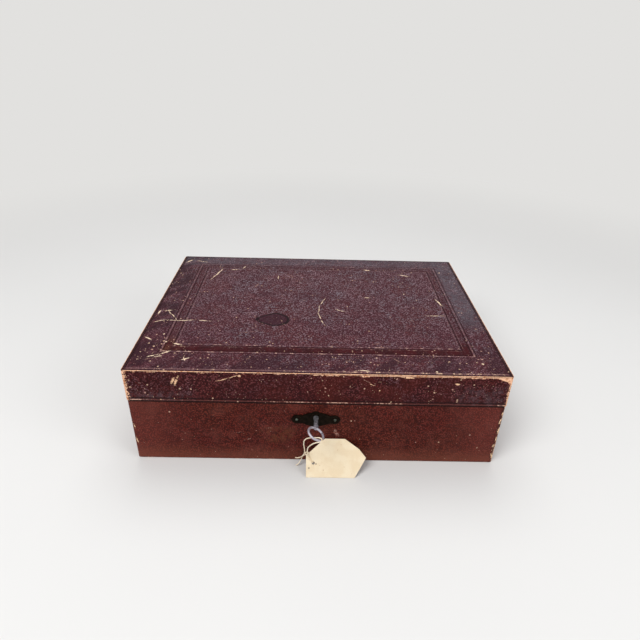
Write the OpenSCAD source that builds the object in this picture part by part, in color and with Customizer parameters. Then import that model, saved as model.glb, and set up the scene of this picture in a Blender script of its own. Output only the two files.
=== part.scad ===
// A leather-covered dressing case: a wooden box and hinged lid, a box lock with its key,
// a lift-out tray with compartments, a mirror in the lid and a card label on a string.
// Lengths are in millimetres. The origin is the centre of the underside, the front faces -Y
// and +Z is up.

/* [Case] */
// Width of the base over its leather
case_w = 350; // [320:5:380]
// Depth of the base over its leather, front to back
case_d = 260; // [240:5:280]
// Height of the base, from the underside up to its rim
base_h = 70.8; // [68:0.2:80]
// Height of the lid, from its rim up to its top
lid_h = 33.9; // [31:0.1:42]
// Gap between the two rims when the lid is shut
rim_gap = 0.3; // [0.2:0.1:0.5]
// How far the lid stands out over the base at the front and at each side
lid_proud = 0.5; // [0.2:0.1:1]
// Radius of the upright corners
corner_r = 2.5; // [1.5:0.5:3]

/* [Boards] */
// Thickness of the wall boards
wall_t = 9; // [9:0.5:11]
// Thickness of the lid's top board
top_t = 6; // [5:0.5:8]
// Thickness of the bottom board
bottom_t = 6; // [5:0.5:8]

/* [Coverings] */
// Thickness of the leather
leather_t = 1; // [0.8:0.1:1.3]
// Width of a tooled line in the lid's leather
tooled_w = 1.1; // [0.8:0.1:1.6]
// Depth of a tooled line
tooled_depth = 0.35; // [0.2:0.05:0.5]
// Outer tooled frame to the lid's sides
tooled_side = 27; // [20:1:34]
// Outer tooled frame to the lid's front edge
tooled_front = 32; // [24:1:38]
// Outer tooled frame to the lid's back edge
tooled_back = 24; // [18:1:30]
// Outer tooled frame to the inner one, at the sides and the back
tooled_band = 9.5; // [6:0.5:14]
// Outer tooled frame to the inner one, at the front
tooled_front_band = 12.5; // [8:0.5:16]
// Tooled line along the lid's edge, from the edge
tooled_edge = 3; // [2:0.5:5]
// Thickness of the cloth under the case
cover_t = 0.8; // [0.5:0.1:1.2]
// Thickness of the lining on the walls
lining_t = 1.2; // [0.8:0.1:1.8]
// Thickness of the padded floor under the tray
floor_pad_t = 3; // [2:0.5:5]
// Thickness of the padded panel in the lid
lid_pad_t = 3; // [2:0.5:4]

/* [Hinges] */
// Length of a hinge
hinge_l = 36; // [30:1:46]
// Middle of a hinge to the middle of the case
hinge_x = 105; // [80:5:130]
// Radius of a hinge knuckle
knuckle_r = 2.2; // [2:0.1:2.8]
// Radius of a hinge pin
hinge_pin_r = 1; // [0.8:0.1:1.2]
// Thickness of a hinge leaf
leaf_t = 1.4; // [1.2:0.1:1.8]
// How far a leaf reaches in over the rim
leaf_d = 8.5; // [7.5:0.5:9.5]

/* [Lock] */
// Sideways place of the lock from the middle of the case
lock_x = -1.3; // [-4:0.1:4]
// Rim of the base down to the key's axis
key_drop = 14.8; // [14.4:0.1:16]
// Length of the lock's faceplate
faceplate_l = 62; // [60:1:70]
// Width of the faceplate and of the link plate above it
faceplate_w = 7; // [6.6:0.2:7.8]
// Thickness of the faceplate and of the link plate
faceplate_t = 1.4; // [1.2:0.1:1.6]
// Length of the lock's works behind the front board
works_l = 47.4; // [47:0.2:50]
// Depth of the works below the rim
works_h = 26.8; // [26:0.2:32]
// Thickness of the lock's back plate
back_plate_t = 1.2; // [1:0.1:1.4]
// Thickness of the lock's cap
cap_t = 0.8; // [0.6:0.1:1]
// Depth of the space for the works, front to back
works_room = 5; // [4.8:0.1:5.4]
// Thickness of the bolt
bolt_t = 2.2; // [1.8:0.1:2.6]
// Height of the bolt's main bar
bolt_h = 4.6; // [4.4:0.1:4.8]
// Height of a bolt prong
prong_h = 2.4; // [2:0.1:2.6]

/* [Key] */
// Angle of the bow from level, right side down
key_tilt = 28; // [26:1:30]
// Radius of the shank
shank_r = 1.9; // [1.7:0.1:2]
// Reach of the bit from the key's axis
bit_reach = 4.4; // [4.2:0.1:4.6]
// Thickness of the bit
bit_t = 1.4; // [1.2:0.1:1.6]
// Front of the case to the middle of the bow
bow_out = 24; // [22:0.5:26]
// Radius of the bow, to the middle of its ring
bow_r = 7.5; // [7:0.1:8]
// How far the shank's collar at the escutcheon stands out
rear_collar = 0.5; // [0.3:0.1:1]
// How far the shank's collar at the bow stands out
front_collar = 0.3; // [0.2:0.1:1]
// Thickness of the bow's ring
bow_t = 2.1; // [1.8:0.1:2.4]
// Radius of the lock's drill pin
drill_pin_r = 0.85; // [0.7:0.05:1]

/* [Escutcheon] */
// Length of the escutcheon, tip to tip
escutcheon_l = 46.4; // [42:0.2:52]
// Height of the escutcheon
escutcheon_h = 18.6; // [17:0.2:22]
// Thickness of the escutcheon
escutcheon_t = 1.2; // [0.8:0.1:1.6]
// Middle of the escutcheon below the key's axis
escutcheon_drop = 3.3; // [2.5:0.1:3.6]
// Distance between the escutcheon's pins
escutcheon_pins_l = 36; // [33:0.5:38]

/* [Tray] */
// Top of the ledges that carry the tray, above the underside
ledge_z = 38; // [32:0.5:39]
// Thickness of the ledge boards
ledge_t = 4; // [3:0.5:6]
// Height of the tray
tray_h = 27; // [22:0.5:30]
// Thickness of the tray's walls
tray_wall = 4; // [3:0.5:5]
// Thickness of the tray's bottom
tray_bottom_t = 3; // [2.5:0.5:4]
// Thickness of the dividers
divider_t = 3; // [2:0.5:4]
// Depth of the front row of compartments
row_front = 58; // [46:1:70]
// Depth of the back row of compartments
row_back = 70; // [56:1:80]
// Compartments in the front row
front_cells = 3; // [2:1:4]
// Compartments in the back row
back_cells = 4; // [3:1:5]
// Clearance between the tray and the lining, each side
tray_fit = 0.6; // [0.4:0.1:1]
// Width of a ribbon pull
ribbon_w = 14; // [10:1:18]

/* [Mirror] */
// Width of the mirror's frame
mirror_w = 250; // [200:5:280]
// Height of the mirror's frame, front to back when the lid is shut
mirror_d = 168; // [140:2:190]
// Width of the frame's moulding
moulding_w = 13; // [10:0.5:18]
// Thickness of the frame's moulding
moulding_t = 5; // [4.4:0.2:6]
// Thickness of the mirror glass
glass_t = 2.6; // [2:0.1:3]

/* [Label] */
// Angle at which the card leans on the case
card_lean = 52.5; // [50:0.5:56]
// Thickness of the card
card_t = 0.6; // [0.4:0.1:0.8]
// Thickness of the string
string_d = 1.1; // [0.8:0.1:1.3]

/* [Hidden] */
$fn = 48;

// Clearances that the fits share: pieces that seat, that turn, that lie clear and screws,
// and how far a cut runs past what it cuts
seat = 0.02;
run_fit = 0.06;
part_gap = 0.3;
screw_fit = 0.05;
cut = 1;

// Room round the key in the wood, the escutcheon and the lock's cap
wood_room = 0.8;
plate_room = 0.5;
cap_room = 0.3;

// Colours of the finishes
LEATHER_TOP = [0.33, 0.23, 0.24];
LEATHER_LID = [0.30, 0.16, 0.15];
LEATHER_BASE = [0.36, 0.18, 0.15];
PINE = [0.72, 0.56, 0.36];
BRASS = [0.72, 0.56, 0.28];
BLACKENED = [0.10, 0.09, 0.07];
STEEL = [0.62, 0.62, 0.64];
VELVET = [0.32, 0.05, 0.08];
SILK = [0.62, 0.30, 0.30];
GLASS = [0.78, 0.82, 0.84];
CARD = [0.95, 0.90, 0.78];
CLOTH = [0.14, 0.11, 0.10];

// Heights, from the underside up
board_z = cover_t;
wall_z = board_z + bottom_t;
rim_z = base_h;
wall_top = rim_z - leather_t;
lid_rim_z = rim_z + rim_gap;
lid_wall_z = lid_rim_z + leather_t;
lid_top_z = lid_rim_z + lid_h;
lid_board_top = lid_top_z - leather_t;
lid_board_z = lid_board_top - top_t;
corner_per_leather = 3.2;
corner = min(corner_r, corner_per_leather * leather_t);

// The lid's own outline: proud at the front and sides, flush at the back
lid_w = case_w + 2 * lid_proud;
lid_d = case_d + lid_proud;
lid_y = -lid_proud / 2;

// The boards' outlines under the leather
board_w = case_w - 2 * leather_t;
board_d = case_d - 2 * leather_t;
lid_board_w = lid_w - 2 * leather_t;
lid_board_d = lid_d - 2 * leather_t;

// Room inside the base and the lid, bare and lined
base_in_w = board_w - 2 * wall_t;
base_in_d = board_d - 2 * wall_t;
lined_w = base_in_w - 2 * lining_t;
lined_d = base_in_d - 2 * lining_t;
lid_in_w = lid_board_w - 2 * wall_t;
lid_in_d = lid_board_d - 2 * wall_t;
lid_lined_w = lid_in_w - 2 * lining_t;
lid_lined_d = lid_in_d - 2 * lining_t;
lining_short = 0.5;
pad_fit = 0.3;

// Side boards stand in rebates in the front and back boards
rebate = wall_t / 2;

// The lock's ward is a ring on the back plate that the slot in the bit passes over
ward_in = 3;
ward_t = 0.5;
ward_h = 0.8;
ward_fit = 0.25;

// Planes of the front wall and the lock, front to back
front_y = -case_d / 2;
front_board_y = front_y + leather_t;
front_in_y = front_board_y + wall_t;
back_plate_y = front_in_y - back_plate_t;
works_y = back_plate_y - works_room;
cap_y = works_y - cap_t;
bolt_y = back_plate_y - ward_h - part_gap - bolt_t;
hook_t = 2;
hook_y = bolt_y + (bolt_t - hook_t) / 2;
face_y = bolt_y + (bolt_t - faceplate_w) / 2;
key_z = rim_z - key_drop;
face_z = rim_z - faceplate_t;
link_fit = 0.2;
link_w = lid_y - lid_d / 2 + leather_t + wall_t - face_y - link_fit;
face_screw_in = 3.4;

// The lock's works: the bit turns the same angle each side of upright and drives the bolt
half_turn = 90 - key_tilt;
radian = 180 / PI;
throw_ratio = bit_reach * sin(half_turn) * radian / half_turn;
rest_x = -throw_ratio * half_turn / radian;
bit_clear = 0.4;
bolt_clear = 0.5;
talon_half = bit_t / 2 + 1;
bolt_low = key_z + shank_r + bolt_clear;
bolt_top = bolt_low + bolt_h;
talon_top = key_z + bit_reach + bit_clear;

// The link plate's hooks, and the bolt's prongs that slide over their noses
hook_z = bolt_top + bit_clear;
nose_l = 2.6;
nose_h = 1.5;
hook_shank = 2.8;
hook_slot = 0.5;
hook_l = nose_l + hook_shank;
prong_z = hook_z + nose_h + part_gap;
prong_tip = 2.2;
riser_l = 2.6;
prong_reach = prong_tip + part_gap;
hook_left = -11;
hook_right = hook_left + hook_l - 2 * rest_x + riser_l + part_gap + hook_slot;

// The two studs that guide the bolt, each side of the key
stud_r = 1;
stud_x = 7.6;
stud_fit = 0.1;

// Works are let into the front board, with a little room round them
works_fit = 0.2;
works_z = rim_z - works_h;

// The drill pin that the hollow key turns on stands out past the front
drill_pin_out = 3;
drill_pin_y = front_y - drill_pin_out;
bore_spare = 1.9;

// The escutcheon's ring round the keyhole, and the pins that hold the escutcheon
ring_up = 0.5;
escutcheon_y = front_y - escutcheon_t;
escutcheon_pin_r = 0.6;
escutcheon_pin_l = cap_y - works_fit - part_gap - escutcheon_y;

// The hinge's axis, just clear of the leather at the back
leather_clear = 0.2;
hinge_y = case_d / 2 + knuckle_r + leather_clear;
hinge_z = rim_z + rim_gap / 2;
knuckles = 5;
knuckle_gap = 0.2;
knuckle_l = (hinge_l - (knuckles - 1) * knuckle_gap) / knuckles;
leaf_screws = 3;
leaf_screw_end = 6;

// Screws: head radius, head height, shank radius and length
hinge_screw = [2, 1.2, 0.9, 7];
face_screw = [2, 1.2, 0.9, 8];
screw_slot_w = 0.5;
screw_slot_depth = 0.4;

// The tray and its rows of compartments
tray_w = lined_w - 2 * tray_fit;
tray_d = lined_d - 2 * tray_fit;
tray_z = ledge_z + part_gap;
tray_floor = tray_z + tray_bottom_t;
tray_top = tray_z + tray_h;
divider_drop = 2;
divider_h = tray_h - tray_bottom_t - divider_drop;
tray_in_w = tray_w - 2 * tray_wall;
tray_in_d = tray_d - 2 * tray_wall;
row_middle = tray_in_d - row_front - row_back - 2 * divider_t;
row_front_y = -tray_in_d / 2;
row_middle_y = row_front_y + row_front + divider_t;
row_back_y = row_middle_y + row_middle + divider_t;
tray_lining_t = 1.2;
tray_lining_fit = 0.3;
ribbon_t = 0.6;
ribbon_drop = 16;
ribbon_loop_r = 4;

// The mirror in the lid
pad_z = lid_board_z - lid_pad_t;
frame_z = pad_z - moulding_t;
glass_rebate = 4;
glass_fit = 0.2;

// The card: its outline on its own plane, from its lower left corner. It leans on the front
card_x = -9.6;
card_h = 36.3;
card_clear = 0.5;
card_rest = 0.08;
card_y = front_y - card_clear - card_h * cos(card_lean) - card_t * sin(card_lean);
card_z = card_rest + card_t * cos(card_lean);
card_outline = [
    [0, 0], [46.3, 0], [57.2, 18.8], [50.6, 26.8], [36.8, card_h], [17.4, card_h], [4.2, 24.4], [-0.3, 20.7]
];
card_hole = [6.7, 13.3];
card_hole_r = 1.5;

// The string's route: a loose end, up to the bow, round its tip, down to the card and back
// through the card's hole to the other loose end
string_route = [
    [-20.4, -136.4, 9.2], [-17.2, -137.3, 10.0], [-14.0, -138.9, 13.4],
    [-12.1, -140.9, 18.0], [-11.4, -143.0, 22.8], [-11.5, -146.4, 30.8], [-12.1, -150.4, 39.4],
    [-11.9, -153.9, 46.6], [-10.5, -156.8, 52.0], [-7.9, -158.5, 55.0],
    [-4.6, -158.9, 56.0], [-1.3, -158.9, 56.0], [1.2, -158.9, 56.0], [3.3, -159.7, 56.0],
    [4.2, -161.7, 56.0], [3.3, -163.7, 56.0], [1.2, -164.5, 55.9], [-1.2, -164.4, 55.2],
    [-3.6, -163.7, 53.3], [-5.6, -162.1, 50.2], [-7.1, -159.4, 46.0], [-8.2, -155.5, 40.6],
    [-8.7, -150.4, 32.4], [-8.6, -145.9, 24.6], [-8.1, -143.5, 19.4],
    [-7.0, -142.9, 16.6], [-5.7, -143.7, 14.6], [-4.5, -144.5, 13.2], [-3.3, -144.7, 11.6],
    [-2.9, -143.7, 10.0], [-3.3, -141.9, 9.4], [-4.5, -140.3, 10.0], [-6.0, -138.9, 11.5],
    [-7.8, -137.8, 13.0], [-9.8, -137.0, 13.7], [-11.8, -136.6, 12.9], [-13.5, -136.6, 10.7],
    [-15.0, -136.9, 6.8], [-17.2, -137.7, 2.6], [-19.6, -138.2, 1.0]
];
string_sides = 8;
string_steps = 2;

// A plan outline with round corners, centred on the origin
module rounded_plan(w, d, r) {
    union() {
        square([w - 2 * r, d], center = true);
        square([w, d - 2 * r], center = true);
        for (x = [-1, 1]) {
            for (y = [-1, 1]) {
                translate([x * (w / 2 - r), y * (d / 2 - r)]) circle(r = r);
            }
        }
    }
}

// A box given by its width and depth about the middle, its bottom and its top
module block(w, d, z0, z1) {
    translate([-w / 2, -d / 2, z0]) cube([w, d, z1 - z0]);
}

// A shape drawn in X and Z, given thickness from y0 towards the back
module upright(y0, t) {
    translate([0, y0 + t, 0]) rotate([90, 0, 0]) linear_extrude(t) children();
}

// A countersunk screw that points down, its head's top at the origin
module screw(s) {
    difference() {
        union() {
            translate([0, 0, -s[1]]) cylinder(h = s[1], r1 = s[2], r2 = s[0]);
            translate([0, 0, -s[3]]) cylinder(h = s[3] - s[1] + seat, r = s[2]);
        }
        translate([-s[0] - cut, -screw_slot_w / 2, -screw_slot_depth])
            cube([2 * (s[0] + cut), screw_slot_w, screw_slot_depth + cut]);
    }
}

// The room that such a screw needs, a little larger all round
module screw_room(s) {
    translate([0, 0, -s[1]]) cylinder(h = s[1], r1 = s[2] + screw_fit, r2 = s[0] + screw_fit);
    translate([0, 0, -seat]) cylinder(h = cut + seat, r = s[0] + screw_fit);
    translate([0, 0, -s[3] - screw_fit]) cylinder(h = s[3] - s[1] + 2 * screw_fit, r = s[2] + screw_fit);
}

// Where a hinge leaf's screws stand along it
function leaf_screw_x(i) =
    -hinge_l / 2 + leaf_screw_end + i * (hinge_l - 2 * leaf_screw_end) / (leaf_screws - 1);
leaf_screw_y = case_d / 2 - leaf_d / 2;

// Rooms and screws for both hinges, pointing down into the base or up into the lid
module at_leaf_screws(z, up) {
    for (side = [-1, 1]) {
        for (i = [0:leaf_screws - 1]) {
            translate([side * hinge_x + leaf_screw_x(i), leaf_screw_y, z]) {
                if (up) {
                    mirror([0, 0, 1]) children();
                } else {
                    children();
                }
            }
        }
    }
}

// Recess for both hinge leaves, from z0 to z1
module leaf_recess(z0, z1) {
    for (side = [-1, 1]) {
        translate([side * hinge_x - hinge_l / 2 - seat, case_d / 2 - leaf_d - seat, z0 - seat])
            cube([hinge_l + 2 * seat, leaf_d + cut, z1 - z0 + 2 * seat]);
    }
}

// A front or back board: full width, rebated at both ends for the side boards
module long_board(w, y0, z0, z1, inner_sign) {
    difference() {
        translate([-w / 2, y0, z0]) cube([w, wall_t, z1 - z0]);
        for (side = [-1, 1]) {
            translate([
                side * (w / 2 - (wall_t - seat) / 2) - (wall_t + seat) / 2,
                inner_sign > 0 ? y0 + wall_t - rebate : y0 - cut,
                z0 - cut
            ])
                cube([wall_t + seat, rebate + cut, z1 - z0 + 2 * cut]);
        }
    }
}

// A side board whose ends stand in the rebates
module side_board(side, w, d, y_mid, z0, z1) {
    x0 = side > 0 ? w / 2 - wall_t : -w / 2;
    depth = d - 2 * (wall_t - rebate) - 2 * seat;
    translate([x0, y_mid - depth / 2, z0]) cube([wall_t, depth, z1 - z0]);
}

// Four strips round the inside of a wall: outer size, thickness and heights
module wall_strips(w, d, t, z0, z1) {
    for (side = [-1, 1]) {
        translate([-w / 2, side > 0 ? d / 2 - t : -d / 2, z0]) cube([w, t, z1 - z0]);
        translate([side > 0 ? w / 2 - t : -w / 2, -d / 2 + t + seat, z0])
            cube([t, d - 2 * (t + seat), z1 - z0]);
    }
}

// The keyhole, with room all round the key: a round hole and a slot for the bit below it
module keyhole(y0, t, room) {
    slot_w = bit_t + 2 * room;
    reach = bit_reach + room;
    translate([lock_x, 0, key_z]) upright(y0, t) union() {
        circle(r = shank_r + room);
        translate([-slot_w / 2, -reach]) square([slot_w, reach]);
    }
}

// Room for the faceplate in the rim of the front wall
module faceplate_recess() {
    translate([lock_x - faceplate_l / 2 - seat, face_y - seat, face_z - seat])
        cube([faceplate_l + 2 * seat, faceplate_w + wall_t, faceplate_t + cut]);
}

module base_front_board() {
    color(PINE) difference() {
        long_board(board_w, front_board_y, wall_z, wall_top, 1);
        translate([lock_x - works_l / 2 - works_fit, cap_y - works_fit, works_z - works_fit])
            cube([works_l + 2 * works_fit, wall_t, works_h + cut]);
        faceplate_recess();
        keyhole(front_y - cut, wall_t, wood_room);
        at_faceplate_screws() screw_room(face_screw);
        at_escutcheon_pins() escutcheon_pin_room();
    }
}

module base_back_board() {
    color(PINE) difference() {
        long_board(board_w, board_d / 2 - wall_t, wall_z, wall_top, -1);
        leaf_recess(rim_z - leaf_t, rim_z + cut);
        at_leaf_screws(rim_z, false) screw_room(hinge_screw);
    }
}

module base_left_board() {
    color(PINE) side_board(-1, board_w, board_d, 0, wall_z, wall_top);
}

module base_right_board() {
    color(PINE) side_board(1, board_w, board_d, 0, wall_z, wall_top);
}

module base_bottom_board() {
    color(PINE) block(board_w, board_d, board_z, wall_z);
}

// The base's leather: round the four walls and turned over the rim
module base_leather() {
    skirt_z = 0.3;
    color(LEATHER_BASE) difference() {
        translate([0, 0, skirt_z]) linear_extrude(rim_z - skirt_z) rounded_plan(case_w, case_d, corner);
        block(board_w, board_d, -cut, wall_top);
        block(base_in_w, base_in_d, -cut, rim_z + cut);
        leaf_recess(rim_z - leaf_t, rim_z + cut);
        faceplate_recess();
        keyhole(front_y - cut, wall_t, wood_room);
        at_escutcheon_pins() escutcheon_pin_room();
    }
}

module underside_cover() {
    cover_in = leather_t + 0.2;
    color(CLOTH) linear_extrude(cover_t) rounded_plan(case_w - 2 * cover_in, case_d - 2 * cover_in, corner);
}

module base_wall_lining() {
    color(SILK) wall_strips(base_in_w, base_in_d, lining_t, wall_z, rim_z - lining_short);
}

// A padded floor whose top rises a little towards its middle
module base_floor_pad() {
    pad_w = lined_w - 2 * (ledge_t + pad_fit);
    pad_d = lined_d - 2 * (ledge_t + pad_fit);
    crown_h = 0.8;
    crown_in = 10;
    color(VELVET) union() {
        block(pad_w, pad_d, wall_z, wall_z + floor_pad_t - crown_h);
        block(pad_w - 2 * crown_in, pad_d - 2 * crown_in, wall_z, wall_z + floor_pad_t);
    }
}

module tray_ledges() {
    color(SILK) wall_strips(lined_w, lined_d, ledge_t, wall_z, ledge_z);
}

// One hinge leaf: the plate on the rim, and its share of the knuckles
module hinge_leaf(lower) {
    z0 = lower ? rim_z - leaf_t : lid_rim_z;
    bore = hinge_pin_r + (lower ? seat : run_fit);
    screw_z = lower ? rim_z : lid_rim_z;
    difference() {
        union() {
            translate([-hinge_l / 2, case_d / 2 - leaf_d, z0]) cube([hinge_l, leaf_d, leaf_t]);
            for (i = [lower ? 0 : 1:2:knuckles - 1]) {
                translate([-hinge_l / 2 + i * (knuckle_l + knuckle_gap), 0, 0]) {
                    translate([0, hinge_y, hinge_z]) rotate([0, 90, 0])
                        cylinder(h = knuckle_l, r = knuckle_r);
                    translate([0, case_d / 2 - leaf_d, z0])
                        cube([knuckle_l, leaf_d + hinge_y - case_d / 2, leaf_t]);
                }
            }
        }
        translate([-hinge_l, hinge_y, hinge_z]) rotate([0, 90, 0]) cylinder(h = 2 * hinge_l, r = bore);
        for (i = [0:leaf_screws - 1]) {
            translate([leaf_screw_x(i), leaf_screw_y, screw_z])
                if (lower) {
                    screw_room(hinge_screw);
                } else {
                    mirror([0, 0, 1]) screw_room(hinge_screw);
                }
        }
    }
}

module left_hinge_base_leaf() {
    color(BRASS) translate([-hinge_x, 0, 0]) hinge_leaf(true);
}

module right_hinge_base_leaf() {
    color(BRASS) translate([hinge_x, 0, 0]) hinge_leaf(true);
}

module left_hinge_lid_leaf() {
    color(BRASS) translate([-hinge_x, 0, 0]) hinge_leaf(false);
}

module right_hinge_lid_leaf() {
    color(BRASS) translate([hinge_x, 0, 0]) hinge_leaf(false);
}

// A pin with a small round head at each end
module hinge_pin() {
    head_t = 0.5;
    translate([-hinge_l / 2, hinge_y, hinge_z]) rotate([0, 90, 0]) union() {
        translate([0, 0, -head_t - seat]) cylinder(h = hinge_l + 2 * (head_t + seat), r = hinge_pin_r);
        translate([0, 0, -head_t - seat]) cylinder(h = head_t, r = hinge_pin_r + 0.5);
        translate([0, 0, hinge_l + seat]) cylinder(h = head_t, r = hinge_pin_r + 0.5);
    }
}

module left_hinge_pin() {
    color(BRASS) translate([-hinge_x, 0, 0]) hinge_pin();
}

module right_hinge_pin() {
    color(BRASS) translate([hinge_x, 0, 0]) hinge_pin();
}

module hinge_base_screws() {
    color(BRASS) at_leaf_screws(rim_z, false) screw(hinge_screw);
}

module hinge_lid_screws() {
    color(BRASS) at_leaf_screws(lid_rim_z, true) screw(hinge_screw);
}

// Places of the lock's screws
module at_faceplate_screws() {
    for (side = [-1, 1]) {
        translate([lock_x + side * (faceplate_l / 2 - face_screw_in), face_y + faceplate_w / 2, rim_z])
            children();
    }
}

module at_link_screws() {
    for (side = [-1, 1]) {
        translate([lock_x + side * (faceplate_l / 2 - face_screw_in), face_y + link_w / 2, lid_rim_z])
            mirror([0, 0, 1]) children();
    }
}

// Slots in the faceplate that the link plate's hooks drop through
module hook_slots() {
    for (x = [hook_left, hook_right]) {
        translate([lock_x + x - hook_slot, hook_y - hook_slot, face_z - cut])
            cube([hook_l + 2 * hook_slot, hook_t + 2 * hook_slot, faceplate_t + 2 * cut]);
    }
}

// The lock's back plate, with the faceplate bent over at its top
module lock_back_plate() {
    color(BRASS) difference() {
        union() {
            translate([lock_x - works_l / 2, back_plate_y, works_z])
                cube([works_l, back_plate_t, face_z - works_z + seat]);
            translate([lock_x - faceplate_l / 2, face_y, face_z])
                cube([faceplate_l, front_in_y - face_y, faceplate_t]);
        }
        hook_slots();
        at_faceplate_screws() screw_room(face_screw);
        translate([lock_x, front_in_y + cut, key_z]) rotate([90, 0, 0])
            cylinder(h = back_plate_t + 2 * cut, r = drill_pin_r + seat);
        at_guide_studs(seat, back_plate_y - seat, back_plate_t + cut);
    }
}

// The cap that closes the works at the front: a shallow tray with the keyhole in it
module lock_cap() {
    cap_side = 0.8;
    depth = back_plate_y - cap_y - seat;
    color(BRASS) difference() {
        translate([lock_x - works_l / 2, cap_y, works_z]) cube([works_l, depth, face_z - works_z - seat]);
        translate([lock_x - works_l / 2 + cap_side, works_y, works_z + cap_side])
            cube([works_l - 2 * cap_side, depth, face_z - works_z + cut]);
        keyhole(cap_y - cut, cap_t + 2 * cut, cap_room);
        at_guide_studs(seat, cap_y - cut, cap_t + 2 * cut);
    }
}

module lock_drill_pin() {
    color(STEEL) translate([lock_x, front_in_y, key_z]) rotate([90, 0, 0])
        cylinder(h = front_in_y - drill_pin_y, r = drill_pin_r);
}

module lock_ward() {
    color(BRASS) translate([lock_x, back_plate_y, key_z]) rotate([90, 0, 0]) difference() {
        cylinder(h = ward_h, r = ward_in + ward_t);
        translate([0, 0, -cut]) cylinder(h = ward_h + 2 * cut, r = ward_in);
    }
}

// The studs that guide the bolt, from the back plate to the cap
module at_guide_studs(extra, y0, t) {
    for (side = [-1, 1]) {
        translate([lock_x + side * stud_x, y0 + t, bolt_low + bolt_h / 2])
            rotate([90, 0, 0]) cylinder(h = t, r = stud_r + extra);
    }
}

module lock_guide_studs() {
    color(STEEL) at_guide_studs(0, cap_y, front_in_y - cap_y);
}

module lock_screws() {
    color(BRASS) at_faceplate_screws() screw(face_screw);
}

// The bolt: a bar with the talon that the bit drives, two guide slots and two prongs
module lock_bolt() {
    bolt_end = 1.2;
    slot_half = part_gap - rest_x;
    slot_r = stud_r + stud_fit;
    bar_left = hook_left + 2 * rest_x - part_gap - riser_l;
    bar_right = rest_x + stud_x + slot_half + slot_r + bolt_end;
    color(STEEL) translate([lock_x, 0, 0]) upright(bolt_y, bolt_t) difference() {
        union() {
            translate([bar_left, bolt_low]) square([bar_right - bar_left, bolt_h]);
            for (x = [hook_left, hook_right]) {
                translate([x + 2 * rest_x - part_gap - riser_l, bolt_low]) {
                    square([riser_l, prong_z + prong_h - bolt_low]);
                    translate([0, prong_z - bolt_low]) square([riser_l + prong_reach, prong_h]);
                }
            }
        }
        translate([rest_x - talon_half, bolt_low - cut]) square([2 * talon_half, talon_top - bolt_low + cut]);
        for (side = [-1, 1]) {
            translate([rest_x + side * stud_x, bolt_low + bolt_h / 2]) union() {
                square([2 * slot_half, 2 * slot_r], center = true);
                for (end = [-1, 1]) {
                    translate([end * slot_half, 0]) circle(r = slot_r);
                }
            }
        }
    }
}

// Outline of the escutcheon: long arched shoulders that meet a round dome above and below,
// a waist each side, and lobed ends with a small point
module escutcheon_plan() {
    lobe_r = 4.9;
    tip = 1.5;
    tip_out = 0.7;
    dome_r = 4.8;
    waist = 4.4;
    shoulder_drop = 1.3;
    lobe_x = escutcheon_l / 2 - tip_out - lobe_r;
    shoulder_h = escutcheon_h / 2 - shoulder_drop;
    shoulder_r = (lobe_x * lobe_x + shoulder_h * shoulder_h) / (2 * shoulder_h);
    union() {
        intersection_for (side = [-1, 1]) {
            translate([0, side * (shoulder_h - shoulder_r)]) circle(r = shoulder_r, $fn = 96);
        }
        square([2 * lobe_x, 2 * waist], center = true);
        for (side = [-1, 1]) {
            translate([0, side * (escutcheon_h / 2 - dome_r)]) circle(r = dome_r);
            translate([side * lobe_x, 0]) circle(r = lobe_r);
            translate([side * (escutcheon_l / 2 - tip), 0]) rotate(45) square(tip * sqrt(2), center = true);
        }
    }
}

module at_escutcheon_pins() {
    for (side = [-1, 1]) {
        translate([lock_x + side * escutcheon_pins_l / 2, escutcheon_y, key_z - escutcheon_drop])
            rotate([-90, 0, 0]) children();
    }
}

module escutcheon_pin_room() {
    translate([0, 0, -cut])
        cylinder(h = escutcheon_pin_l + screw_fit + cut, r = escutcheon_pin_r + screw_fit);
}

// The escutcheon, with a raised ring round the keyhole
module key_escutcheon() {
    ring_r = 4.6;
    color(BLACKENED) difference() {
        union() {
            translate([lock_x, 0, key_z - escutcheon_drop])
                upright(escutcheon_y, escutcheon_t) escutcheon_plan();
            translate([lock_x, front_y, key_z]) rotate([90, 0, 0])
                cylinder(h = escutcheon_t + ring_up, r = ring_r);
        }
        keyhole(escutcheon_y - ring_up - cut, escutcheon_t + ring_up + 2 * cut, plate_room);
        at_escutcheon_pins() escutcheon_pin_room();
    }
}

module escutcheon_pins() {
    head_r = 1.4;
    color(BLACKENED) at_escutcheon_pins() union() {
        cylinder(h = escutcheon_pin_l, r = escutcheon_pin_r);
        difference() {
            sphere(r = head_r);
            translate([-head_r - cut, -head_r - cut, 0])
                cube([2 * (head_r + cut), 2 * (head_r + cut), head_r + cut]);
        }
    }
}

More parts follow.
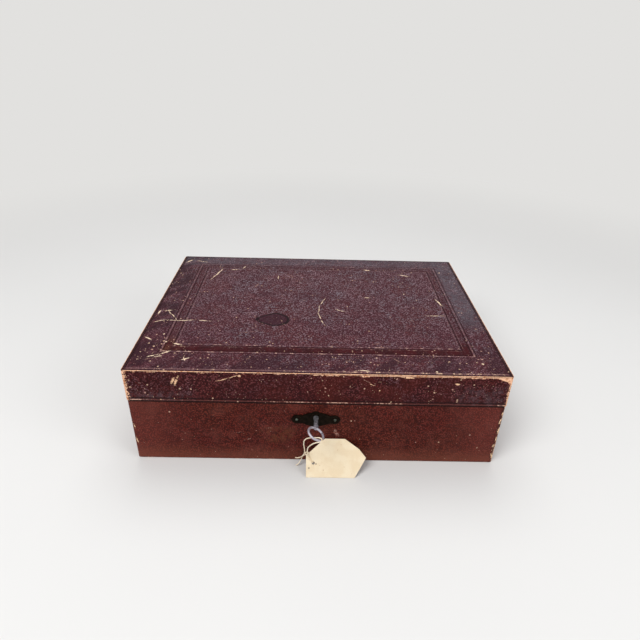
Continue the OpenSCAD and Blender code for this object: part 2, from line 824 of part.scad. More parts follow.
// The key: a hollow shank with two collars, a slotted bit and a ring bow
module key() {
    bow_y = front_y - bow_out;
    tip_y = back_plate_y - part_gap;
    bore_l = tip_y - drill_pin_y + bore_spare;
    bit_y = works_y + bit_clear;
    bit_l = tip_y - seat - bit_y;
    collar_l = 1.3;
    collar_y = escutcheon_y - ring_up - part_gap;
    front_collar_y = bow_y + bow_r + bow_t / 2 + collar_l;
    color(STEEL) translate([lock_x, 0, key_z]) rotate([0, key_tilt, 0]) difference() {
        union() {
            translate([0, tip_y, 0]) rotate([90, 0, 0])
                cylinder(h = tip_y - bow_y - bow_r + bow_t / 4, r = shank_r);
            translate([0, collar_y, 0]) rotate([90, 0, 0]) cylinder(h = collar_l, r = shank_r + rear_collar);
            translate([0, front_collar_y, 0]) rotate([90, 0, 0]) cylinder(h = collar_l, r = shank_r + front_collar);
            translate([0, bow_y, 0]) rotate_extrude() translate([bow_r, 0]) circle(d = bow_t);
            translate([-bit_reach, bit_y, -bit_t / 2]) cube([bit_reach, bit_l, bit_t]);
        }
        translate([0, tip_y + cut, 0]) rotate([90, 0, 0])
            cylinder(h = bore_l + cut, r = drill_pin_r + run_fit);
        translate([0, tip_y + cut, 0]) rotate([90, 0, 0]) difference() {
            cylinder(h = ward_h + part_gap + cut, r = ward_in + ward_t + ward_fit);
            translate([0, 0, -cut]) cylinder(h = ward_h + 3 * cut, r = ward_in - ward_fit);
        }
    }
}

// The link plate in the lid's rim, with the two hooks that the bolt catches
module link_plate() {
    color(BRASS) difference() {
        union() {
            translate([lock_x - faceplate_l / 2, face_y, lid_rim_z]) cube([faceplate_l, link_w, faceplate_t]);
            translate([lock_x, 0, 0]) upright(hook_y, hook_t) union() {
                for (x = [hook_left, hook_right]) {
                    translate([x + nose_l, hook_z])
                        square([hook_shank, lid_rim_z - hook_z + faceplate_t / 2]);
                    translate([x, hook_z]) square([hook_l, nose_h]);
                }
            }
        }
        at_link_screws() screw_room(face_screw);
    }
}

module link_plate_screws() {
    color(BRASS) at_link_screws() screw(face_screw);
}

// The lid's boards follow the lid's own outline
module lid_front_board() {
    color(PINE) difference() {
        long_board(lid_board_w, lid_y - lid_board_d / 2, lid_wall_z, lid_board_z, 1);
        link_recess();
        at_link_screws() screw_room(face_screw);
    }
}

module lid_back_board() {
    color(PINE) difference() {
        long_board(lid_board_w, lid_y + lid_board_d / 2 - wall_t, lid_wall_z, lid_board_z, -1);
        leaf_recess(lid_rim_z - cut, lid_rim_z + leaf_t);
        at_leaf_screws(lid_rim_z, true) screw_room(hinge_screw);
    }
}

module lid_left_board() {
    color(PINE) side_board(-1, lid_board_w, lid_board_d, lid_y, lid_wall_z, lid_board_z);
}

module lid_right_board() {
    color(PINE) side_board(1, lid_board_w, lid_board_d, lid_y, lid_wall_z, lid_board_z);
}

module lid_top_board() {
    color(PINE) translate([0, lid_y, 0]) block(lid_board_w, lid_board_d, lid_board_z, lid_board_top);
}

module link_recess() {
    translate([lock_x - faceplate_l / 2 - seat, face_y - seat, lid_rim_z - cut])
        cube([faceplate_l + 2 * seat, link_w + 2 * seat, faceplate_t + cut + seat]);
}

module lid_leather_band() {
    color(LEATHER_LID) difference() {
        translate([0, lid_y, lid_rim_z]) linear_extrude(lid_board_top - lid_rim_z)
            rounded_plan(lid_w, lid_d, corner);
        translate([0, lid_y, 0]) block(lid_board_w, lid_board_d, lid_wall_z, lid_top_z);
        translate([0, lid_y, 0]) block(lid_in_w, lid_in_d, 0, lid_top_z);
        leaf_recess(lid_rim_z - cut, lid_rim_z + leaf_t);
        link_recess();
    }
}

// A rectangular tooled line, given by how far in its outer edge lies at the sides, front and back
module tooled_frame(in_x, in_front, in_back) {
    w = lid_w - 2 * in_x;
    d = lid_d - in_front - in_back;
    translate([-w / 2, lid_y - lid_d / 2 + in_front, lid_top_z - tooled_depth])
        linear_extrude(tooled_depth + cut) difference() {
            square([w, d]);
            translate([tooled_w, tooled_w]) square([w - 2 * tooled_w, d - 2 * tooled_w]);
        }
}

// A profile with its two upper corners rounded
module rounded_top_profile(w, r) {
    union() {
        translate([-w / 2, lid_board_top]) square([w, leather_t - r]);
        translate([-w / 2 + r, lid_board_top]) square([w - 2 * r, leather_t]);
        for (side = [-1, 1]) {
            translate([side * (w / 2 - r), lid_top_z - r]) circle(r = r);
        }
    }
}

// The lid's top sheet: rounded along its edges, with two tooled frames and a line by the edge
module lid_top_leather() {
    edge_r = 0.45 * leather_t;
    color(LEATHER_TOP) difference() {
        intersection() {
            translate([0, lid_y, lid_board_top]) linear_extrude(leather_t) rounded_plan(lid_w, lid_d, corner);
            upright(-case_d, 2 * case_d) rounded_top_profile(lid_w, edge_r);
            translate([0, lid_y, 0]) rotate([0, 0, 90])
                upright(-case_w, 2 * case_w) rounded_top_profile(lid_d, edge_r);
        }
        tooled_frame(tooled_side, tooled_front, tooled_back);
        tooled_frame(tooled_side + tooled_band, tooled_front + tooled_front_band, tooled_back + tooled_band);
        tooled_frame(tooled_edge, tooled_edge, tooled_edge);
    }
}

module lid_wall_lining() {
    color(SILK) translate([0, lid_y, 0])
        wall_strips(lid_in_w, lid_in_d, lining_t, lid_rim_z + lining_short, lid_board_z);
}

module lid_lining_pad() {
    color(SILK) translate([0, lid_y, 0])
        block(lid_lined_w - 2 * pad_fit, lid_lined_d - 2 * pad_fit, pad_z, lid_board_z);
}

// The mirror's frame: four mitred mouldings, stepped at both edges with a bead between,
// and a rebate for the glass
module moulding_profile() {
    lip_drop = 1.2;
    outer_lip = 1.2;
    inner_lip = 2.8;
    field_drop = 0.5;
    bead_r = moulding_t / 2 - 0.4;
    bead_x = (outer_lip + moulding_w - inner_lip) / 2;
    difference() {
        union() {
            square([moulding_w, moulding_t - lip_drop]);
            translate([outer_lip, 0]) square([moulding_w - outer_lip - inner_lip, moulding_t - field_drop]);
            translate([bead_x, moulding_t - bead_r]) circle(r = bead_r);
        }
        translate([moulding_w - glass_rebate, -cut]) square([glass_rebate + cut, glass_t + glass_fit + cut]);
    }
}

// One side of the frame, cut to a mitre at both ends. It runs along X, its outer edge at y = -d / 2
module moulding_side(l, d) {
    intersection() {
        translate([-l / 2, -d / 2, pad_z]) rotate([90, 0, 90]) mirror([0, 1, 0])
            linear_extrude(l) moulding_profile();
        translate([0, 0, frame_z - cut]) linear_extrude(moulding_t + 2 * cut)
            polygon([
                [-l / 2 + seat, -d / 2], [l / 2 - seat, -d / 2],
                [l / 2 - moulding_w - seat, -d / 2 + moulding_w],
                [-l / 2 + moulding_w + seat, -d / 2 + moulding_w]
            ]);
    }
}

module mirror_frame() {
    color(PINE) translate([0, lid_y, 0]) {
        for (a = [0, 180]) rotate([0, 0, a]) moulding_side(mirror_w, mirror_d);
        for (a = [90, 270]) rotate([0, 0, a]) moulding_side(mirror_d, mirror_w);
    }
}

module mirror_glass() {
    w = mirror_w - 2 * (moulding_w - glass_rebate) - 2 * glass_fit;
    d = mirror_d - 2 * (moulding_w - glass_rebate) - 2 * glass_fit;
    color(GLASS) translate([0, lid_y, 0]) block(w, d, pad_z - glass_t, pad_z);
}

module tray_bottom() {
    color(SILK) block(tray_w, tray_d, tray_z, tray_floor);
}

module tray_walls() {
    color(SILK) wall_strips(tray_w, tray_d, tray_wall, tray_floor, tray_top);
}

module tray_long_dividers() {
    color(SILK) for (y = [row_middle_y - divider_t, row_back_y - divider_t]) {
        translate([-tray_in_w / 2, y, tray_floor]) cube([tray_in_w, divider_t, divider_h]);
    }
}

// Width of one of n equal compartments in a row, and where number i starts
function cell_w(n) = (tray_in_w - (n - 1) * divider_t) / n;
function cell_x(n, i) = -tray_in_w / 2 + i * (cell_w(n) + divider_t);

module tray_cross_dividers() {
    color(SILK) {
        for (i = [1:front_cells - 1]) {
            translate([cell_x(front_cells, i) - divider_t, row_front_y, tray_floor])
                cube([divider_t, row_front, divider_h]);
        }
        for (i = [1:back_cells - 1]) {
            translate([cell_x(back_cells, i) - divider_t, row_back_y, tray_floor])
                cube([divider_t, row_back, divider_h]);
        }
    }
}

// A velvet floor in each compartment
module cell_lining(x, y, w, d) {
    translate([x + tray_lining_fit, y + tray_lining_fit, tray_floor])
        cube([w - 2 * tray_lining_fit, d - 2 * tray_lining_fit, tray_lining_t]);
}

module tray_linings() {
    color(VELVET) {
        for (i = [0:front_cells - 1]) {
            cell_lining(cell_x(front_cells, i), row_front_y, cell_w(front_cells), row_front);
        }
        for (i = [0:back_cells - 1]) {
            cell_lining(cell_x(back_cells, i), row_back_y, cell_w(back_cells), row_back);
        }
        cell_lining(-tray_in_w / 2, row_middle_y, tray_in_w, row_middle);
    }
}

// A ribbon loop inside each end wall of the tray, by which it is lifted out
module tray_ribbon_pulls() {
    y_mid = row_middle_y + row_middle / 2;
    color(SILK) for (side = [-1, 1]) {
        translate([side * (tray_in_w / 2 - ribbon_t - seat), y_mid, 0]) rotate([0, 0, side > 0 ? 0 : 180]) {
            translate([0, -ribbon_w / 2, tray_top - ribbon_drop]) cube([ribbon_t, ribbon_w, ribbon_drop]);
            translate([ribbon_t - ribbon_loop_r, ribbon_w / 2, tray_top]) rotate([90, 0, 0])
                linear_extrude(ribbon_w) difference() {
                    circle(r = ribbon_loop_r);
                    circle(r = ribbon_loop_r - ribbon_t);
                    translate([-2 * ribbon_loop_r, -2 * ribbon_loop_r])
                        square([4 * ribbon_loop_r, 2 * ribbon_loop_r]);
                }
        }
    }
}

// The card label leans on the case, its lower edge on the surface
module label_card() {
    color(CARD) translate([card_x, card_y, card_z]) rotate([card_lean, 0, 0]) translate([0, 0, -card_t])
        linear_extrude(card_t) difference() {
            polygon(card_outline);
            translate(card_hole) circle(r = card_hole_r);
        }
}

// A smooth curve through the route's points
function route_at(i) = string_route[max(0, min(len(string_route) - 1, i))];
function curve_at(i, t) =
    let(a = route_at(i - 1), b = route_at(i), c = route_at(i + 1), d = route_at(i + 2))
    0.5 * (2 * b + (c - a) * t + (2 * a - 5 * b + 4 * c - d) * t * t + (3 * b - a - 3 * c + d) * t * t * t);
string_path = [
    for (i = [0:len(string_route) - 2]) for (k = [0:string_steps - 1]) curve_at(i, k / string_steps),
    string_route[len(string_route) - 1]
];
function unit(v) = v / norm(v);
function heading(i) = unit(string_path[min(len(string_path) - 1, i + 1)] - string_path[max(0, i - 1)]);
function squared_to(side, i) = unit(side - heading(i) * (side * heading(i)));
string_last = len(string_path) - 1;
string_sides_at = [
    for (
        i = 0, s = squared_to([0, 0, 1], 0);
        i <= string_last;
        i = i + 1, s = squared_to(s, min(i, string_last))
    ) s
];

// The string, as one tube along its route
module label_string() {
    rings = len(string_path);
    points = [
        for (i = [0:rings - 1]) for (k = [0:string_sides - 1])
            let(a = 360 * k / string_sides, s = string_sides_at[i], u = cross(heading(i), s))
            string_path[i] + string_d / 2 * (cos(a) * s + sin(a) * u)
    ];
    walls = [
        for (i = [0:rings - 2]) for (k = [0:string_sides - 1])
            let(n = (k + 1) % string_sides, a = i * string_sides, b = a + string_sides)
            for (f = [[a + k, b + k, b + n], [a + k, b + n, a + n]]) f
    ];
    first_end = [for (k = [1:string_sides - 2]) [0, k, k + 1]];
    last = (rings - 1) * string_sides;
    last_end = [for (k = [1:string_sides - 2]) [last, last + k + 1, last + k]];
    color(CARD) polyhedron(points = points, faces = concat(walls, first_end, last_end));
}

base_front_board();
base_back_board();
base_left_board();
base_right_board();
base_bottom_board();
base_leather();
underside_cover();
base_wall_lining();
base_floor_pad();
tray_ledges();
left_hinge_base_leaf();
right_hinge_base_leaf();
left_hinge_pin();
right_hinge_pin();
hinge_base_screws();
lock_back_plate();
lock_cap();
lock_drill_pin();
lock_ward();
lock_guide_studs();
lock_screws();
key_escutcheon();
escutcheon_pins();
label_string();
label_card();
lid_top_board();
lid_front_board();
lid_back_board();
lid_left_board();
lid_right_board();
lid_leather_band();
lid_top_leather();
lid_wall_lining();
lid_lining_pad();
mirror_frame();
mirror_glass();
left_hinge_lid_leaf();
right_hinge_lid_leaf();
hinge_lid_screws();
link_plate();
link_plate_screws();
tray_bottom();
tray_walls();
tray_long_dividers();
tray_cross_dividers();
tray_linings();
tray_ribbon_pulls();
key();
lock_bolt();
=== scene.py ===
"""The looks of a leather-covered dressing case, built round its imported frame.

The frame's own unit is the metre. Sizes here are in millimetres, as on a maker's drawing, and
the helpers that make meshes and place lights turn them into metres.
"""

from __future__ import annotations

import logging
import math
from abc import ABC, abstractmethod
from collections.abc import Callable, Iterable, Iterator, Sequence
from dataclasses import astuple, dataclass, field
from enum import Enum
from typing import ClassVar

import bmesh
import bpy
from mathutils import Matrix, Vector, noise

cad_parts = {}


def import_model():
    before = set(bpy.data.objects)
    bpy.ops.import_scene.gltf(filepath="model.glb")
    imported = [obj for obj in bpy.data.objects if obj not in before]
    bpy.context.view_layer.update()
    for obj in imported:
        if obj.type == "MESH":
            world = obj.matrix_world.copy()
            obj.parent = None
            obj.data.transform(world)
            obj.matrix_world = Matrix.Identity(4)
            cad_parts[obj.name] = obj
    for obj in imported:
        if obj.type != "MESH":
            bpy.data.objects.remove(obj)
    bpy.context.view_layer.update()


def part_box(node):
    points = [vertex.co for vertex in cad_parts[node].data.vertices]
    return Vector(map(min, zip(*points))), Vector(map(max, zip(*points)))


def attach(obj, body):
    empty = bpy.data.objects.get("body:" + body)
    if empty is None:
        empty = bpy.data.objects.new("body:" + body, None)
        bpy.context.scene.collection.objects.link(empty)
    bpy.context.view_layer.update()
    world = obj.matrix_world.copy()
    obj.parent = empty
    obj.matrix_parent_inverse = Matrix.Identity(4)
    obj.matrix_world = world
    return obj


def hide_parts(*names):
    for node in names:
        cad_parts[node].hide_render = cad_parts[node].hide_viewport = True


LOG = logging.getLogger("dressing_case")
MM = 0.001
FAR_FROM_SCRATCH = 2.5

Point = tuple[float, float]
Colour = tuple[float, float, float, float]
Piece = bpy.types.Object
Socket = bpy.types.NodeSocket
Corner = bmesh.types.BMVert
Line = Sequence[Sequence[float]]
Sink = Callable[[float, float], float]


class Body(Enum):
    """The bodies of the case that new pieces ride on."""

    BASE = "root"
    LID = "lid"
    TRAY = "tray"


class Face(Enum):
    """The outer faces of the lid or the base, named from the front."""

    LEFT = "left"
    RIGHT = "right"
    FRONT = "front"
    BACK = "back"
    TOP = "top"
    BOTTOM = "bottom"


class Axis(Enum):
    """The way that a board's grain runs."""

    X = 0
    Y = 1


def srgb(red: float, green: float, blue: float) -> Colour:
    """A colour as the eye names it, from 0 to 255, for a shader.

    Args:
        red: The red part.
        green: The green part.
        blue: The blue part.

    Returns:
        The same colour in linear light, with full alpha.
    """
    parts = [value / 255 for value in (red, green, blue)]
    linear = [v / 12.92 if v <= 0.04045 else ((v + 0.055) / 1.055) ** 2.4 for v in parts]
    return linear[0], linear[1], linear[2], 1.0


class Wire:
    """What comes out of a paint's nodes."""

    def __init__(self, paint: Paint, socket: Socket) -> None:
        """Wraps one output socket of a paint's nodes."""
        self.paint = paint
        self.socket = socket


class Signal(Wire):
    """A number that varies over a surface. Arithmetic on it adds Math nodes."""

    def _math(self, operation: str, *values: Signal | float) -> Signal:
        """Adds one Math node and returns its result."""
        made = self.paint.node("ShaderNodeMath", {"operation": operation}, dict(enumerate(values)))
        return Signal(self.paint, made.outputs[0])

    def __add__(self, other: Signal | float) -> Signal:
        """The sum."""
        return self._math("ADD", self, other)

    def __radd__(self, other: float) -> Signal:
        """The sum, with a plain number first."""
        return self._math("ADD", other, self)

    def __sub__(self, other: Signal | float) -> Signal:
        """The difference."""
        return self._math("SUBTRACT", self, other)

    def __rsub__(self, other: float) -> Signal:
        """The difference, with a plain number first."""
        return self._math("SUBTRACT", other, self)

    def __mul__(self, other: Signal | float) -> Signal:
        """The product."""
        return self._math("MULTIPLY", self, other)

    def __rmul__(self, other: float) -> Signal:
        """The product, with a plain number first."""
        return self._math("MULTIPLY", other, self)

    def __abs__(self) -> Signal:
        """The size without the sign."""
        return self._math("ABSOLUTE", self)

    def low(self, other: Signal | float) -> Signal:
        """The smaller of the two."""
        return self._math("MINIMUM", self, other)

    def high(self, other: Signal | float) -> Signal:
        """The larger of the two."""
        return self._math("MAXIMUM", self, other)

    def wave(self) -> Signal:
        """The sine, for an angle in radians."""
        return self._math("SINE", self)

    def rise(self, start: float, end: float) -> Signal:
        """A smooth step.

        Args:
            start: Where the step is still 0.
            end: Where the step has reached 1. It may lie below start.

        Returns:
            A number from 0 to 1.
        """
        made = self.paint.node(
            "ShaderNodeMapRange",
            {"interpolation_type": "SMOOTHSTEP"},
            {"Value": self, "From Min": start, "From Max": end},
        )
        return Signal(self.paint, made.outputs["Result"])

    def between(self, first: Tint | Colour, second: Tint | Colour) -> Tint:
        """Two colours mixed by this share from 0 to 1."""
        return self.paint.mix(first, second, self)


class Place(Wire):
    """A place that varies over a surface. Arithmetic on it adds Vector Math nodes."""

    def _vector(self, operation: str, *values: Place | Sequence[float]) -> bpy.types.Node:
        """Adds one Vector Math node and returns it."""
        return self.paint.node("ShaderNodeVectorMath", {"operation": operation}, dict(enumerate(values)))

    def __add__(self, other: Place | Sequence[float]) -> Place:
        """The place moved by another."""
        return Place(self.paint, self._vector("ADD", self, other).outputs[0])

    def __sub__(self, other: Place | Sequence[float]) -> Place:
        """The place moved back by another."""
        return Place(self.paint, self._vector("SUBTRACT", self, other).outputs[0])

    def __mul__(self, other: Place | Sequence[float]) -> Place:
        """The place scaled along each axis."""
        return Place(self.paint, self._vector("MULTIPLY", self, other).outputs[0])

    def length(self) -> Signal:
        """How far the place is from the origin."""
        return Signal(self.paint, self._vector("LENGTH", self).outputs["Value"])

    def along(self) -> tuple[Signal, Signal, Signal]:
        """The three parts of the place, along X, Y and Z.

        Returns:
            The three parts as signals.
        """
        made = self.paint.node("ShaderNodeSeparateXYZ", None, {0: self})
        parts = [Signal(self.paint, made.outputs[i]) for i in range(3)]
        return parts[0], parts[1], parts[2]

    def mottle(self, size: float, detail: float = 3.0, rough: float = 0.55) -> Signal:
        """Soft noise at the place.

        Args:
            size: Size of its features in millimetres.
            detail: How many finer layers lie on it.
            rough: How strong the finer layers are.

        Returns:
            A number from 0 to 1, mostly near the middle.
        """
        sockets = {"Vector": self, "Scale": 1 / size, "Detail": detail, "Roughness": rough}
        return Signal(self.paint, self.paint.node("ShaderNodeTexNoise", None, sockets).outputs[0])

    def stirred(self, size: float, amount: float) -> Place:
        """The place moved about by noise.

        Args:
            size: Size of the noise's features in millimetres.
            amount: How far the place moves at most, in millimetres.

        Returns:
            The moved place.
        """
        sockets = {"Vector": self, "Scale": 1 / size, "Detail": 2.0}
        made = self.paint.node("ShaderNodeTexNoise", None, sockets)
        push = Place(self.paint, made.outputs["Color"]) - (0.5, 0.5, 0.5)
        return self + push * (2 * amount, 2 * amount, 2 * amount)

    def cells(self, size: float) -> tuple[Signal, Signal]:
        """Voronoi cells of a size in millimetres.

        Args:
            size: Size of a cell.

        Returns:
            The distance from the nearest cell's middle, as a share of its size, and a random
            number a cell.
        """
        made = self.paint.node("ShaderNodeTexVoronoi", None, {"Vector": self, "Scale": 1 / size})
        chance = Place(self.paint, made.outputs["Color"]).along()[0]
        return Signal(self.paint, made.outputs["Distance"]), chance

    def nearest(self, scratches: Sequence[Scratch]) -> Signal:
        """How near the nearest scratch is to the place on its face.

        Args:
            scratches: The scratches.

        Returns:
            0 on a scratch, 1 at its edge and no more than FAR_FROM_SCRATCH.
        """
        found: Signal | None = None
        strokes = (stroke for scratch in scratches for stroke in scratch.strokes())
        for middle, angle, half, width in strokes:
            reach = (FAR_FROM_SCRATCH * (half + width / 2), FAR_FROM_SCRATCH * width / 2, 1.0)
            turned = {"Location": (*middle, 0.0), "Rotation": (0.0, 0.0, angle), "Scale": reach}
            about = {"vector_type": "TEXTURE"}
            local = self.paint.node("ShaderNodeMapping", about, {"Vector": self, **turned})
            ball = {"gradient_type": "SPHERICAL"}
            made = self.paint.node("ShaderNodeTexGradient", ball, {0: local.outputs[0]})
            near = Signal(self.paint, made.outputs["Fac"])
            found = near if found is None else found.high(near)
        return (1 - found) * FAR_FROM_SCRATCH


def place_at(x: Signal, y: Signal, z: Signal | float = 0.0) -> Place:
    """A place from its coordinates, of which the last may be left out on a face."""
    return Place(x.paint, x.paint.node("ShaderNodeCombineXYZ", None, {0: x, 1: y, 2: z}).outputs[0])


class Tint(Wire):
    """A colour that varies over a surface."""

    def toward(self, other: Tint | Colour, share: Signal | float) -> Tint:
        """This colour mixed with another by a share from 0 to 1."""
        return self.paint.mix(self, other, share)


@dataclass(frozen=True)
class Scratch:
    """A scratch, scuff or chip: a chain of thin ellipses on one face, or a dot.

    Attributes:
        points: Places along it on the face, in millimetres.
        width: Its width in millimetres.
    """

    points: tuple[Point, ...]
    width: float

    def strokes(self) -> Iterator[tuple[Point, float, float, float]]:
        """Each straight stroke as its middle, its angle, half its length and its width.

        Returns:
            The strokes one by one, with angles in radians.
        """
        if len(self.points) == 1:
            yield self.points[0], 0.0, 0.0, self.width
        for (x0, y0), (x1, y1) in zip(self.points, self.points[1:]):
            middle = ((x0 + x1) / 2, (y0 + y1) / 2)
            yield middle, math.atan2(y1 - y0, x1 - x0), math.hypot(x1 - x0, y1 - y0) / 2, self.width


def scratched(*rows: tuple[float | Point, ...]) -> tuple[Scratch, ...]:
    """Scratches, each from its width and then the places along it, in millimetres."""
    return tuple(Scratch(tuple(points), width) for width, *points in rows)


class Paint:
    """One material and the nodes that dress it."""

    def __init__(self, name: str) -> None:
        """Starts a material with one Principled shader.

        Args:
            name: The material's name.
        """
        self.material = bpy.data.materials.new(name)
        self.material.use_nodes = True
        self.tree = self.material.node_tree
        self.shader = self.tree.nodes["Principled BSDF"]

    def feed(self, socket: Socket, value: object) -> None:
        """Gives an input socket what it needs.

        Args:
            socket: The input socket.
            value: A wire or an output socket to link to it, or a plain value to set on it.
        """
        source = value.socket if isinstance(value, Wire) else value
        if isinstance(source, Socket):
            self.tree.links.new(source, socket)
        else:
            socket.default_value = source

    def node(
        self,
        kind: str,
        settings: dict[str, object] | None = None,
        sockets: dict[int | str, object] | None = None,
    ) -> bpy.types.Node:
        """Adds one node.

        Args:
            kind: The node's type.
            settings: The node's own settings, such as its operation, which are set first.
            sockets: Values or links of its input sockets, by name or number.

        Returns:
            The node.
        """
        made = self.tree.nodes.new(kind)
        for name, value in (settings or {}).items():
            setattr(made, name, value)
        for key, value in (sockets or {}).items():
            self.feed(made.inputs[key], value)
        return made

    def place(self) -> Place:
        """Places on the case at rest, in millimetres in the case's own frame."""
        coordinates = self.node("ShaderNodeTexCoord")
        return Place(self, coordinates.outputs["Object"]) * (1 / MM, 1 / MM, 1 / MM)

    def mix(self, first: Tint | Colour, second: Tint | Colour, share: Signal | float) -> Tint:
        """Two colours mixed by a share from 0 to 1."""
        made = self.node("ShaderNodeMix", {"data_type": "RGBA"}, {0: share, 6: first, 7: second})
        return Tint(self, made.outputs[2])

    def seen(self) -> Signal:
        """1 where a thing is seen, straight, in a mirror or through glass, and 0 where it only lights.

        Returns:
            1 or 0, as a signal.
        """
        path = self.node("ShaderNodeLightPath")
        camera, glossy, glass = (
            Signal(self, path.outputs[f"Is {kind} Ray"]) for kind in ("Camera", "Glossy", "Transmission")
        )
        return camera.high(glossy).high(glass)

    def relief(self, height: Signal, depth: float) -> Socket:
        """Relief as a normal: a height from 0 to 1 that stands for a depth in millimetres."""
        sockets = {"Height": height, "Distance": depth * MM, "Strength": 1.0}
        return self.node("ShaderNodeBump", None, sockets).outputs["Normal"]

    def finish(self, **values: object) -> None:
        """Sets the shader's sockets, named with underscores for spaces."""
        for name, value in values.items():
            self.feed(self.shader.inputs[name.replace("_", " ").title().replace("Ior", "IOR")], value)


class SkyPaint(Paint):
    """The world and the nodes that dress it."""

    def __init__(self, name: str) -> None:
        """Starts a world with one Background shader.

        Args:
            name: The world's name.
        """
        world = bpy.data.worlds.new(name)
        world.use_nodes = True
        bpy.context.scene.world = world
        self.tree = world.node_tree
        self.shader = self.tree.nodes["Background"]


@dataclass(frozen=True)
class Finish(ABC):
    """A surface finish. Its material is made once and shared.

    Attributes:
        made: The materials made so far, by name.
        name: The material's name.
        slot: The slot of the record that the finish belongs to; not used.
    """

    made: ClassVar[dict[str, bpy.types.Material]] = {}
    name: str
    slot: str

    def material(self) -> bpy.types.Material:
        """The finish's material.

        Returns:
            The material, made on the first call.
        """
        if self.name not in self.made:
            paint = Paint(self.name)
            self.dress(paint)
            self.made[self.name] = paint.material
        return self.made[self.name]

    @abstractmethod
    def dress(self, paint: Paint) -> None:
        """Adds the finish's nodes."""


@dataclass(frozen=True)
class Shape:
    """The outer size of the lid or the base, in millimetres.

    Attributes:
        width: From side to side.
        front: Y of the front face.
        back: Y of the back face.
        low: Height of the lower edge.
        high: Height of the upper edge.
    """

    width: float
    front: float
    back: float
    low: float
    high: float

    @property
    def depth(self) -> float:
        """From the front to the back."""
        return self.back - self.front

    @classmethod
    def of(cls, *nodes: str) -> Shape:
        """The outer size of some CAD nodes together.

        Args:
            nodes: The nodes' names.

        Returns:
            The box round all of them.
        """
        boxes = [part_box(name) for name in nodes]
        low = [min(box[0][i] for box in boxes) / MM for i in range(3)]
        high = [max(box[1][i] for box in boxes) / MM for i in range(3)]
        return cls(high[0] - low[0], low[1], high[1], low[2], high[2])


@dataclass(frozen=True)
class EdgeWear:
    """Wear along the edge between two faces.

    Attributes:
        first: One face.
        second: The face that it meets.
        width: How far the wear reaches from the edge, in millimetres.
        ragged: How unevenly it ends, in millimetres.
        cover: The share of the edge that is worn.
    """

    first: Face
    second: Face
    width: float
    ragged: float
    cover: float = 1.0


SIDES_AND_BACK = (Face.LEFT, Face.RIGHT, Face.BACK)


def worn(faces: Iterable[Face], second: Face, *values: float) -> list[EdgeWear]:
    """The same wear along the edges where some faces meet another: width, raggedness and cover."""
    return [EdgeWear(face, second, *values) for face in faces]


@dataclass(frozen=True)
class TooledFrame:
    """A rectangular tooled line on the lid: how far in it lies from each edge, in millimetres."""

    side: float
    front: float
    back: float

    def shifted(self, amount: float) -> TooledFrame:
        """The frame drawn in by an amount on every side."""
        return TooledFrame(self.side + amount, self.front + amount, self.back + amount)

    def toward(self, other: TooledFrame, share: float) -> TooledFrame:
        """A frame part of the way to another."""
        pairs = zip(astuple(self), astuple(other))
        return TooledFrame(*(mine + (theirs - mine) * share for mine, theirs in pairs))


OUTER_FRAME = TooledFrame(27.2, 32.2, 24.6)
INNER_FRAME = TooledFrame(36.9, 43.0, 34.0)
EDGE_FRAME = TooledFrame(3.4, 3.4, 3.4)
EDGE_RIDGE = 4.0
DOUBLE_LINE = 1.9

RAW_PALE = srgb(240, 190, 156)
RAW_TAN = srgb(192, 126, 88)
RUBBED = srgb(188, 144, 130)


